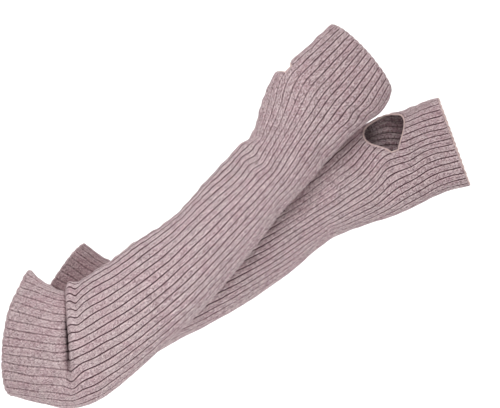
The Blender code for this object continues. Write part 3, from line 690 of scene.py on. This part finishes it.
def finger_end_path(sleeve, inset, height):
    rib, scallops = round_the_ribs(FINGER_END_SCALLOP)
    lift = height + rib_relief(np.full_like(rib, sleeve.length), rib, OVERLOCKED_RIB_HEIGHT)
    return lifted_path(sleeve, sleeve.length - inset - scallops, rib, lift)


def arm_end_path(sleeve, inset, height, rib_height):
    rib, scallops = round_the_ribs(ARM_END_SCALLOP)
    lift = height + rib_relief(np.full_like(rib, inset), rib, rib_height)
    return lifted_path(sleeve, inset + scallops, rib, lift)


def thumb_path(sleeve, inset, height):
    """Round the thumb opening, inset mm in from the cut knit."""
    slot = sleeve.warmer.slot
    lip, side = (np.linspace(-1, 1, count + 1)[:-1] for count in (LIP_POINTS, SIDE_POINTS))
    square = np.concatenate([
        np.stack([-np.ones_like(lip), lip], -1),
        np.stack([side, np.ones_like(side)], -1),
        np.stack([np.ones_like(lip), -lip], -1),
        np.stack([-side, -np.ones_like(side)], -1),
    ])
    length = sleeve.slot_length + square[:, 0] * (SLOT_HALF_LENGTH - inset)
    rib = slot.rib + square[:, 1] * (slot.half_ribs - inset / MM_PER_RIB)
    return lifted_path(sleeve, length, rib, height)


def lifted_path(sleeve, length, rib, lift):
    """A path over the flat knit as worn, with the way the cloth faces along it."""
    length, rib, sunk = sleeve.place(length, rib)
    return sleeve.raised(length, rib, lift + sunk), sleeve.normals(length, rib)


# Materials

# Lengths along the knit are in metres here. A pair of values is where a mask is 0 and where it is
# whole.

# Where the painted shade at the ends comes in
ARM_END_PAINTED_SHADE = (0.07, 0.03)
HAND_PAINTED_SHADE = (0.3, 0.42)

# A soft-edged patch of knit: the lengths and the ribs where it starts, is whole, is whole until,
# and is gone, and its share there
Patch = namedtuple("Patch", "lengths ribs share")
# Painted shade in the trench of the front warmer's elbow crease
FOLD_SHADE = Patch((0.051, 0.0545, 0.0625, 0.066), (5.0, 7.0, 9.5, 12.8), 0.85)
EASED_GROOVES = {
    "front": Patch((0.33, 0.36, 0.405, 0.43), (-2.0, -1.0, 7.5, 9.5), 0.5),
    "back": Patch((0.25, 0.28, 0.335, 0.36), (1.5, 3.5, 6.5, 8.5), 0.6),
}

# Along the top of the arm the grooves open out
OPEN_RIBS = (5.0, 1.0)
OPEN_UP_TO = (0.34, 0.3)
OPENED_BY = 0.055          # of a rib

# Over the elbow the ribs are widest and their flecks are calmer
CALM_UP_TO = (0.19, 0.11)
CALMED_BY = 0.25

# Over the upper arm the knit is stretched most, and its grooves are shallow between the courses
STRETCHED_UP_TO = (0.072, 0.05)
SHALLOW = (0.35, 0.5)      # on a course, and what is added between two
RUNG_ROUNDING = 0.7

# Shares of a rib from its nearest groove
GROOVE_SIDE = (0.05, 0.095)
SHOULDER_OUTSIDE = (0.1, 0.15)
SHOULDER_INSIDE = (0.32, 0.2)
# Painted highlight: how much the colour is lightened on the ribs' shoulders
SHOULDER_HIGHLIGHT = (1.2, 1.2, 1.2, 1.0)

# One stitch: how far its legs slant in courses, how round they are along and across, and how much
# painted shade falls between two legs, from which share of a leg's height
LEG_SLANT = 1.3
LEG_ROUNDING = (0.6, 0.5)
BETWEEN_LEGS = (0.45, 0.0)
BETWEEN_LEGS_SHADE = 0.22

# Melange yarn: the scales of its noises, with their details and roughness
YARN_TONES = ("Base", "Pale", "Dark", "Rose")
FIBRES = (1250.0, 1.0, 0.7)
CLUMPS = (300.0, 2.0, 0.6)
WASHES = (60.0, 2.0, 0.5)
FLECK_SHARE = 0.45         # the rest of a fleck is its fibres
WASH_TONE = 0.4
WASHED = (0.38, 0.62)
PALE = (0.5, 0.74)
DARK = (0.46, 0.26)
FLECK_STRENGTH = 0.95
ROSY = (0.5, 0.72)
ROSY_STRENGTH = 0.15
STRAND_FLECKS = (420.0, 1.0)

# The overlock yarn: scale and details of its noises, and where its darker stretches come in
EDGING_TWIST = (1400.0, 2.0)
EDGING_CLUMPS = (160.0, 3.0)
EDGING_SHADED = (0.3, 0.7)

# What the shaders hold of their own
KNIT_FINISH = {
    "Roughness": 0.92,
    "Specular IOR Level": 0.25,
    "Sheen Weight": 0.12,
    "Sheen Roughness": 0.55,
    "Sheen Tint": (0.95, 0.86, 0.86, 1.0),
}
STRAND_FINISH = {**KNIT_FINISH, "Sheen Weight": 0.25}
EDGING_FINISH = {
    **KNIT_FINISH,
    "Roughness": 0.85,
    "Sheen Weight": 0.3,
    "Sheen Tint": (1.0, 0.95, 0.93, 1.0),
}
PAPER_FINISH = {"Base Color": (0.93, 0.93, 0.93, 1.0), "Roughness": 0.95}

# Bumps: strength and height
STITCH_BUMP = (0.7, 0.35 * MM)
FIBRE_HEIGHT = 0.5         # of a stitch's
STRAND_BUMP = (0.6, 0.2 * MM)
EDGING_BUMP = (0.5, 0.15 * MM)


class Web:
    """Adds nodes to one tree and joins them."""

    def __init__(self, tree):
        self.tree = tree

    def add(self, kind, **settings):
        node = self.tree.nodes.new(kind)
        for key, value in settings.items():
            setattr(node, key, value)
        return node

    def put(self, socket, value):
        if isinstance(value, bpy.types.NodeSocket):
            self.tree.links.new(value, socket)
        else:
            socket.default_value = value

    def fill(self, node, values):
        """Puts each value in the input of its name."""
        for label, value in values.items():
            self.put(node.inputs[label], value)
        return node.outputs

    def math(self, operation, *values):
        node = self.add("ShaderNodeMath", operation=operation)
        for socket, value in zip(node.inputs, values):
            self.put(socket, value)
        return node.outputs[0]

    def mix(self, share, first, second, blend="MIX"):
        node = self.add("ShaderNodeMix", data_type="RGBA", blend_type=blend)
        return self.fill(node, {"Factor": share, "A": first, "B": second})["Result"]

    def noise(self, place, scale, detail, roughness=0.5):
        values = {"Vector": place, "Scale": scale, "Detail": detail, "Roughness": roughness}
        return self.fill(self.add("ShaderNodeTexNoise"), values)["Fac"]

    def between(self, value, low, high):
        """0 at low, 1 at high, clamped."""
        values = {"Value": value, "From Min": low, "From Max": high}
        return self.fill(self.add("ShaderNodeMapRange"), values)["Result"]

    def fade(self, value, span, strength):
        """0 at the span's start, the strength at its end."""
        return self.math("MULTIPLY", self.between(value, *span), strength)

    def bump(self, height, strength, distance):
        values = {"Height": height, "Strength": strength, "Distance": distance}
        return self.fill(self.add("ShaderNodeBump"), values)["Normal"]

    def group(self, tree, **values):
        return self.fill(self.add("ShaderNodeGroup", node_tree=tree), values)


def new_group(name, inputs, outputs):
    """A shader node group with named sockets, each with its type, and its two ends."""
    tree = bpy.data.node_groups.new(name, "ShaderNodeTree")
    for way, sockets in (("INPUT", inputs), ("OUTPUT", outputs)):
        for label, kind in sockets.items():
            tree.interface.new_socket(label, in_out=way, socket_type=kind)
    web = Web(tree)
    return tree, web, web.add("NodeGroupInput").outputs, web.add("NodeGroupOutput")


def rib_stitch_group():
    """Knit stitches from a rib count and a length: V-shaped legs in columns along each rib."""
    tree, web, given, end = new_group(
        "rib stitches",
        dict.fromkeys(("Rib", "Length", "Stretch", "Open", "Columns", "Course"), "NodeSocketFloat"),
        dict.fromkeys(("Height", "Groove", "Shoulder", "Strand", "Fleck"), "NodeSocketFloat"),
    )
    rib, length = given["Rib"], given["Length"]
    share = web.math("FRACT", rib)
    to_groove = web.math("MINIMUM", share, web.math("SUBTRACT", 1.0, share))
    to_edge = web.math("SUBTRACT", to_groove, web.math("MULTIPLY", given["Open"], OPENED_BY))
    # The mask of the painted shade in the grooves
    groove = web.math("SUBTRACT", 1.0, web.between(to_edge, *GROOVE_SIDE))
    column = web.math("MULTIPLY", rib, given["Columns"])
    leg = web.math("ABSOLUTE", web.math("SUBTRACT", web.math("FRACT", column), 0.5))
    course = web.math("DIVIDE", length, given["Course"])
    slanted = web.math("ADD", course, web.math("MULTIPLY", leg, LEG_SLANT))
    rung = web.math("ABSOLUTE", web.math("SINE", web.math("MULTIPLY", course, math.pi)))
    rung = web.math("POWER", rung, RUNG_ROUNDING)
    on_course, between_courses = SHALLOW
    shallow = web.math("ADD", on_course, web.math("MULTIPLY", rung, between_courses))
    shallow = web.math("MULTIPLY", given["Stretch"], shallow)
    groove = web.math("MULTIPLY", groove, web.math("SUBTRACT", 1.0, shallow))
    along_leg = web.math("SINE", web.math("MULTIPLY", web.math("FRACT", slanted), math.pi))
    across_leg = web.math("ABSOLUTE", web.math("SINE", web.math("MULTIPLY", column, 2 * math.pi)))
    rounded = [web.math("POWER", *pair) for pair in zip((along_leg, across_leg), LEG_ROUNDING)]
    height = web.math("MULTIPLY", *rounded)
    cell = web.add("ShaderNodeCombineXYZ")
    web.put(cell.inputs[0], web.math("FLOOR", web.math("MULTIPLY", column, 2.0)))
    web.put(cell.inputs[1], web.math("FLOOR", slanted))
    random = web.add("ShaderNodeTexWhiteNoise", noise_dimensions="2D")
    web.put(random.inputs["Vector"], cell.outputs[0])
    shoulder = web.fade(to_groove, SHOULDER_OUTSIDE, web.between(to_groove, *SHOULDER_INSIDE))
    web.fill(end, {
        "Height": height,
        "Groove": groove,
        "Shoulder": shoulder,
        "Strand": across_leg,
        "Fleck": random.outputs["Value"],
    })
    return tree


def heather_group():
    """Melange wool: a base tone broken by paler, darker and rosier fibres."""
    tones = dict.fromkeys(YARN_TONES, "NodeSocketColor")
    tree, web, given, end = new_group(
        "heather yarn",
        {"Place": "NodeSocketVector", "Fleck": "NodeSocketFloat", **tones},
        {"Colour": "NodeSocketColor", "Fibre": "NodeSocketFloat"},
    )
    fibres, clumps, washes = (web.noise(given["Place"], *size) for size in (FIBRES, CLUMPS, WASHES))
    wash = web.mix(WASH_TONE, given["Base"], given["Rose"])
    tone = web.mix(web.between(washes, *WASHED), given["Base"], wash)
    flecks = web.math("MULTIPLY", given["Fleck"], FLECK_SHARE)
    lit = web.math("ADD", flecks, web.math("MULTIPLY", fibres, 1 - FLECK_SHARE))
    for value, span, strength, colour in (
        (lit, PALE, FLECK_STRENGTH, "Pale"),
        (lit, DARK, FLECK_STRENGTH, "Dark"),
        (clumps, ROSY, ROSY_STRENGTH, "Rose"),
    ):
        tone = web.mix(web.fade(value, span, strength), tone, given[colour])
    web.fill(end, {"Colour": tone, "Fibre": fibres})
    return tree


def new_material(name, finish):
    """A material, its shader with the finish on it, and the web to join more nodes to."""
    material = bpy.data.materials.new(name)
    material.use_nodes = True
    shader = material.node_tree.nodes["Principled BSDF"]
    web = Web(material.node_tree)
    web.fill(shader, finish)
    return material, shader, web


def patch_mask(web, rib, length, patch):
    """The patch's share inside it, 0 outside."""
    mask = patch.share
    for value, (start, whole, until, gone) in ((length, patch.lengths), (rib, patch.ribs)):
        inside = web.fade(value, (start, whole), web.between(value, gone, until))
        mask = web.math("MULTIPLY", inside, mask)
    return mask


def opaque(colour):
    return (*colour, 1.0)


def yarn_colours(settings):
    return {tone: opaque(getattr(settings, f"{tone.lower()}_colour")) for tone in YARN_TONES}


def knit_material(name, groups, settings, groove, arm_end_shade, hand_shade, eased=None, shade=None):
    """Rib knit with painted shade of a given strength in its grooves, and painted shade deepening
    towards its ends by the shares, with its groove shade eased in one patch and painted shade in
    another.
    """
    material, shader, web = new_material(name, KNIT_FINISH)
    parts = web.add("ShaderNodeSeparateXYZ")
    web.put(parts.inputs[0], web.add("ShaderNodeUVMap", uv_map="knit").outputs[0])
    rib = web.math("MULTIPLY", parts.outputs[0], float(RIBS))
    length = parts.outputs[1]
    from_top = web.math("MINIMUM", rib, web.math("SUBTRACT", float(RIBS), rib))
    stitches = web.group(
        groups["stitches"],
        Rib=rib,
        Length=length,
        Stretch=web.between(length, *STRETCHED_UP_TO),
        Open=web.fade(from_top, OPEN_RIBS, web.between(length, *OPEN_UP_TO)),
        Columns=float(settings.columns_per_rib),
        Course=settings.course_height,
    )
    kept_fleck = web.math("SUBTRACT", 1.0, web.fade(length, CALM_UP_TO, CALMED_BY))
    from_middle = web.math("MULTIPLY", web.math("SUBTRACT", stitches["Fleck"], 0.5), kept_fleck)
    heather = web.group(
        groups["heather"],
        Place=web.add("ShaderNodeTexCoord").outputs["Object"],
        Fleck=web.math("ADD", from_middle, 0.5),
        **yarn_colours(settings),
    )
    # Painted shade between the legs, in the colour of the darkest fibres
    shade_between_legs = web.fade(stitches["Strand"], BETWEEN_LEGS, BETWEEN_LEGS_SHADE)
    tone = web.mix(shade_between_legs, heather["Colour"], opaque(settings.dark_colour))
    # Painted highlight on the ribs' shoulders
    tone = web.mix(stitches["Shoulder"], tone, SHOULDER_HIGHLIGHT, "MULTIPLY")
    # Painted shade in the grooves, eased over a patch
    depth = web.math("MULTIPLY", stitches["Groove"], groove)
    if eased:
        kept = web.math("SUBTRACT", 1.0, patch_mask(web, rib, length, eased))
        depth = web.math("MULTIPLY", depth, kept)
    painted_groove_shade = opaque(settings.groove_shade_colour)
    tone = web.mix(depth, tone, painted_groove_shade)
    # Painted shade: the colour darkens towards the arm end and towards the hand
    at_arm_end = web.fade(length, ARM_END_PAINTED_SHADE, arm_end_shade)
    at_hand = web.fade(length, HAND_PAINTED_SHADE, hand_shade)
    painted_end_shade = web.math("MAXIMUM", at_arm_end, at_hand)
    tone = web.mix(painted_end_shade, tone, opaque(settings.end_shade_colour), "MULTIPLY")
    # Painted shade over a patch, in the grooves' colour
    if shade:
        tone = web.mix(patch_mask(web, rib, length, shade), tone, painted_groove_shade)
    fibres = web.math("MULTIPLY", heather["Fibre"], FIBRE_HEIGHT)
    height = web.math("ADD", stitches["Height"], fibres)
    web.fill(shader, {"Base Color": tone, "Normal": web.bump(height, *STITCH_BUMP)})
    return material


def edging_material(settings):
    material, shader, web = new_material("pale overlock yarn", EDGING_FINISH)
    place = web.add("ShaderNodeTexCoord").outputs["Object"]
    share = web.between(web.noise(place, *EDGING_CLUMPS), *EDGING_SHADED)
    tone = web.mix(share, opaque(settings.edge_colour), opaque(settings.edge_shade))
    twist = web.bump(web.noise(place, *EDGING_TWIST), *EDGING_BUMP)
    web.fill(shader, {"Base Color": tone, "Normal": twist})
    return material


def yarn_material(groups, settings):
    """The body yarn where it is seen as strands, at the cast-on edge."""
    material, shader, web = new_material("heather yarn strands", STRAND_FINISH)
    place = web.add("ShaderNodeTexCoord").outputs["Object"]
    flecks = web.noise(place, *STRAND_FLECKS)
    heather = web.group(groups["heather"], Place=place, Fleck=flecks, **yarn_colours(settings))
    fibres = web.bump(heather["Fibre"], *STRAND_BUMP)
    web.fill(shader, {"Base Color": heather["Colour"], "Normal": fibres})
    return material


def made_once(name, make):
    """A material or group that is built the first time it is asked for."""
    found = bpy.data.materials.get(name) or bpy.data.node_groups.get(name)
    return found or make()


def groups():
    return {
        "stitches": made_once("rib stitches", rib_stitch_group),
        "heather": made_once("heather yarn", heather_group),
    }


# Settings


def colour_property(name, description, default):
    return bpy.props.FloatVectorProperty(
        name=name, description=description, default=default, subtype="COLOR", min=0.0, max=1.0
    )


def length_property(name, description, default, low=0.0):
    return bpy.props.FloatProperty(
        name=name, description=description, default=default, min=low, unit="LENGTH", precision=5
    )


class KnitSettings(bpy.types.PropertyGroup):
    rib_height: length_property("Rib height", "How far a rib stands above its grooves", 1.35 * MM)
    wall: length_property("Wall", "Thickness of the knit", 1.5 * MM)
    columns_per_rib: bpy.props.IntProperty(
        name="Columns", description="Columns of stitches on each rib", default=4, min=1
    )
    course_height: length_property("Course", "Length of one stitch along the knit", 1.15 * MM)
    base_colour: colour_property("Base", "The yarn's main tone", (0.515, 0.395, 0.403))
    pale_colour: colour_property("Pale", "Its palest fibres", (0.78, 0.66, 0.67))
    # The darkest fibres' colour, also used as painted shade between the stitches' legs
    dark_colour: colour_property("Dark", "Its darkest fibres", (0.16, 0.1, 0.115))
    rose_colour: colour_property("Rose", "Its pinkest fibres", (0.47, 0.27, 0.31))
    # Painted shade: the colour laid into the grooves and into the elbow crease
    groove_shade_colour: colour_property("Groove", "The knit down in a groove", (0.06, 0.014, 0.024))
    # Painted shade: the colour that darkens the arm ends and the hands
    end_shade_colour: colour_property("End shade", "What deepens the tone at the ends", (0.55, 0.5, 0.503))


class EdgeSettings(bpy.types.PropertyGroup):
    yarn: length_property("Yarn", "Thickness of the overlock yarn", 0.65 * MM)
    turn_step: length_property("Turn step", "Distance between its turns", 1.4 * MM)
    edge_colour: colour_property("Edge", "The overlock yarn", (0.74, 0.58, 0.55))
    edge_shade: colour_property("Edge shade", "Its darker stretches", (0.62, 0.46, 0.44))


class StudioSettings(bpy.types.PropertyGroup):
    floor_drop: length_property("Floor drop", "From the pair's lowest point to the floor", 0.35)
    distance: length_property("Camera distance", "From the camera to the front forearm", 2.0, 0.1)
    light: bpy.props.FloatProperty(
        name="Light", description="Strength of the key light, in watts", default=7.8, min=0.0
    )


# Operators

# Shares of painted shade at each warmer's arm end, the painted shade in the front warmer's elbow
# crease, and the share of painted shade at both hands
ARM_END_SHADE_SHARE = {"front": 0.25, "back": 1.0}
CREASE_SHADE = {"front": FOLD_SHADE, "back": None}
HAND_SHADE_SHARE = 0.4

# Shares of the painted groove shade, of the arm end's painted shade and of the hand's on the inside
INSIDE_SHARES = (0.3, 0.3, 0.3)

# Wrapped edges, in mm: how far in from the cut they lie, and the half widths of their cores
# across and along the cloth
CAST_ON_INSET = 0.5
CAST_ON_CORE = 0.6
CAST_ON_WALL_SHARE = 0.42
CAST_ON_YARN = 0.75
CAST_ON_STEP = 1.7
THUMB_INSET = 0.6
OVERLOCK_CORE = (0.5, 0.6)


def both_sleeves():
    return Sleeve(FRONT), Sleeve(BACK)


class ARMWARMERS_OT_knit(bpy.types.Operator):
    """Knit both tubes"""

    bl_idname = "armwarmers.knit"
    bl_label = "Knit tubes"

    def execute(self, context):
        settings = context.scene.arm_warmer_knit
        for sleeve in both_sleeves():
            name = sleeve.warmer.name
            outside = knit_material(
                f"{name} rib knit", groups(), settings, 1.0, ARM_END_SHADE_SHARE[name], HAND_SHADE_SHARE,
                EASED_GROOVES[name], CREASE_SHADE[name],
            )
            inside = knit_material(f"{name} knit inside", groups(), settings, *INSIDE_SHARES)
            piece = knit_tube(sleeve, settings.rib_height / MM, settings.wall / MM, outside, inside)
            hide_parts(f"{name}_tube")
            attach(piece, "root")
        return {"FINISHED"}


class ARMWARMERS_OT_cast_on(bpy.types.Operator):
    """Round off both arm ends with their cast-on stitches"""

    bl_idname = "armwarmers.cast_on"
    bl_label = "Cast-on edges"

    def execute(self, context):
        settings = context.scene.arm_warmer_knit
        material = made_once("heather yarn strands", lambda: yarn_material(groups(), settings))
        wall, rib_height = settings.wall / MM, settings.rib_height / MM
        core = (CAST_ON_WALL_SHARE * wall, CAST_ON_CORE)
        for sleeve in both_sleeves():
            name = f"{sleeve.warmer.name}_cast_on"
            centres, ups = arm_end_path(sleeve, CAST_ON_INSET, -0.5 * wall, rib_height)
            piece = wrapped_edge(name, centres, ups, core, CAST_ON_YARN, CAST_ON_STEP, material)
            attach(piece, "root")
        return {"FINISHED"}


class ARMWARMERS_OT_overlock(bpy.types.Operator):
    """Overlock the finger ends and the thumb openings"""

    bl_idname = "armwarmers.overlock"
    bl_label = "Overlocked edges"

    def execute(self, context):
        settings = context.scene.arm_warmer_edges
        material = made_once("pale overlock yarn", lambda: edging_material(settings))
        yarn, step = settings.yarn / MM, settings.turn_step / MM
        for sleeve in both_sleeves():
            name = sleeve.warmer.name
            paths = (
                ("finger", finger_end_path(sleeve, 0.5 * EDGE_WIDTH, EDGE_DROP)),
                ("thumb", thumb_path(sleeve, THUMB_INSET, EDGE_DROP)),
            )
            for place, (centres, ups) in paths:
                piece = wrapped_edge(
                    f"{name}_{place}_overlock", centres, ups, OVERLOCK_CORE, yarn, step, material
                )
                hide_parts(f"{name}_{place}_edge")
                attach(piece, "root")
        return {"FINISHED"}


# The studio, in metres: the paper's reach to the front, back, top and each side, and the bend
# between its floor and its backdrop
SWEEP_FRONT, SWEEP_BACK, SWEEP_TOP, SWEEP_SIDE = -3.2, 1.9, 3.2, 3.5
SWEEP_BEND = 0.9
SWEEP_BEND_STEPS = 12

# What the photo is centred on, and how much it shows from side to side
PHOTO_MIDDLE = (0.0418, 0.0, 0.0356)
PHOTO_WIDTH = 0.475

# Each light's place, aim and size, and its power as a share of the key light's
BACKDROP_MIDDLE = (0.0, 1.9, 0.4)
LIGHTS = {
    "key": ((0.22, -1.05, 0.7), (0.0, 0.0, 0.0), 0.6, 1.0),
    "fill": ((-1.1, -1.4, 0.5), PHOTO_MIDDLE, 1.2, 0.7),
    "back_left": ((-1.2, 1.3, 1.2), BACKDROP_MIDDLE, 1.5, 2.6),
    "back_right": ((1.2, 1.3, 1.2), BACKDROP_MIDDLE, 1.5, 2.6),
}
AIR_LIGHT = 0.55


def paper_material():
    """Pale paper that shows from its lit side alone, so that it hides nothing from behind."""
    material, shader, web = new_material("studio paper", PAPER_FINISH)
    sides = web.add("ShaderNodeMixShader")
    web.put(sides.inputs[0], web.add("ShaderNodeNewGeometry").outputs["Backfacing"])
    web.put(sides.inputs[1], shader.outputs[0])
    web.put(sides.inputs[2], web.add("ShaderNodeBsdfTransparent").outputs[0])
    web.put(material.node_tree.nodes["Material Output"].inputs["Surface"], sides.outputs[0])
    return material


def studio_sweep(floor_height, material):
    """A pale floor that curves up into a backdrop."""
    bm = bmesh.new()
    bend_start = SWEEP_BACK - SWEEP_BEND
    profile = [(SWEEP_FRONT, 0.0)]
    profile += [
        (bend_start + SWEEP_BEND * math.sin(a), SWEEP_BEND - SWEEP_BEND * math.cos(a))
        for a in np.linspace(0, math.pi / 2, SWEEP_BEND_STEPS + 1)
    ]
    profile.append((SWEEP_BACK, SWEEP_TOP))
    verts = [bm.verts.new((-SWEEP_SIDE, y, floor_height + z)) for y, z in profile]
    edges = [bm.edges.new(pair) for pair in zip(verts, verts[1:])]
    wide = bmesh.ops.extrude_edge_only(bm, edges=edges)
    moved = [item for item in wide["geom"] if isinstance(item, bmesh.types.BMVert)]
    bmesh.ops.translate(bm, verts=moved, vec=(2 * SWEEP_SIDE, 0.0, 0.0))
    bmesh.ops.recalc_face_normals(bm, faces=bm.faces)
    # The extruded faces come in no fixed order, so the floor is found by its height.
    floor = min(bm.faces, key=lambda face: face.calc_center_median().z)
    if floor.normal.z < 0:
        bmesh.ops.reverse_faces(bm, faces=bm.faces)
    return finish_piece("studio_sweep", bm, material)


def area_light(name, place, aim, size, power):
    """A round soft light that faces what it is aimed at."""
    light = bpy.data.lights.new(name, "AREA")
    light.shape = "DISK"
    light.size = size
    light.energy = power
    lamp = bpy.data.objects.new(name, light)
    lamp.location = place
    direction = Vector(aim) - Vector(place)
    lamp.rotation_euler = direction.to_track_quat("-Z", "Y").to_euler()
    bpy.context.scene.collection.objects.link(lamp)


class ARMWARMERS_OT_stage(bpy.types.Operator):
    """Set the floor, backdrop, soft lights and camera"""

    bl_idname = "armwarmers.stage"
    bl_label = "Studio"

    def execute(self, context):
        settings = context.scene.arm_warmer_studio
        low, high = CAD_BOX
        sweep = studio_sweep(low[2] - settings.floor_drop, paper_material())
        for name, (place, aim, size, share) in LIGHTS.items():
            area_light(name, place, aim, size, share * settings.light)
        world = bpy.data.worlds.new("studio air")
        world.use_nodes = True
        background = world.node_tree.nodes["Background"].inputs
        background["Color"].default_value = (1.0, 1.0, 1.0, 1.0)
        background["Strength"].default_value = AIR_LIGHT
        context.scene.world = world
        camera = bpy.data.cameras.new("camera")
        camera.lens = camera.sensor_width * settings.distance / PHOTO_WIDTH
        holder = bpy.data.objects.new("camera", camera)
        holder.location = (PHOTO_MIDDLE[0], -settings.distance, PHOTO_MIDDLE[2])
        holder.rotation_euler = (math.pi / 2, 0.0, 0.0)
        context.scene.collection.objects.link(holder)
        context.scene.camera = holder
        context.scene.view_settings.view_transform = "Standard"
        return {"FINISHED"}


class ARMWARMERS_OT_declare(bpy.types.Operator):
    """A step that does nothing"""

    bl_idname = "armwarmers.declare"
    bl_label = "Flat cuts"

    def execute(self, context):
        return {"FINISHED"}


class ARMWARMERS_PT_panel(bpy.types.Panel):
    """Lists the pair's settings and steps"""

    bl_label = "Arm Warmers"
    bl_idname = "ARMWARMERS_PT_panel"
    bl_space_type = "VIEW_3D"
    bl_region_type = "UI"
    bl_category = "Arm Warmers"

    def draw(self, context):
        layout = self.layout
        for group in ("arm_warmer_knit", "arm_warmer_edges", "arm_warmer_studio"):
            settings = getattr(context.scene, group)
            box = layout.box()
            for name in settings.bl_rna.properties.keys():
                if name not in ("rna_type", "name"):
                    box.prop(settings, name)
        for operator in STEPS:
            layout.operator(operator.bl_idname)


SETTINGS = {
    "arm_warmer_knit": KnitSettings,
    "arm_warmer_edges": EdgeSettings,
    "arm_warmer_studio": StudioSettings,
}
STEPS = (
    ARMWARMERS_OT_knit,
    ARMWARMERS_OT_cast_on,
    ARMWARMERS_OT_overlock,
    ARMWARMERS_OT_declare,
    ARMWARMERS_OT_stage,
)


def register():
    for group, kind in SETTINGS.items():
        bpy.utils.register_class(kind)
        setattr(bpy.types.Scene, group, bpy.props.PointerProperty(type=kind))
    for kind in (*STEPS, ARMWARMERS_PT_panel):
        bpy.utils.register_class(kind)


def unregister():
    for kind in (ARMWARMERS_PT_panel, *reversed(STEPS)):
        bpy.utils.unregister_class(kind)
    for group, kind in reversed(SETTINGS.items()):
        delattr(bpy.types.Scene, group)
        bpy.utils.unregister_class(kind)


def main():
    register()
    bpy.ops.armwarmers.knit()
    bpy.ops.armwarmers.cast_on()
    bpy.ops.armwarmers.overlock()
    bpy.ops.armwarmers.declare()
    bpy.ops.armwarmers.stage()


if __name__ == "__main__":
    main()
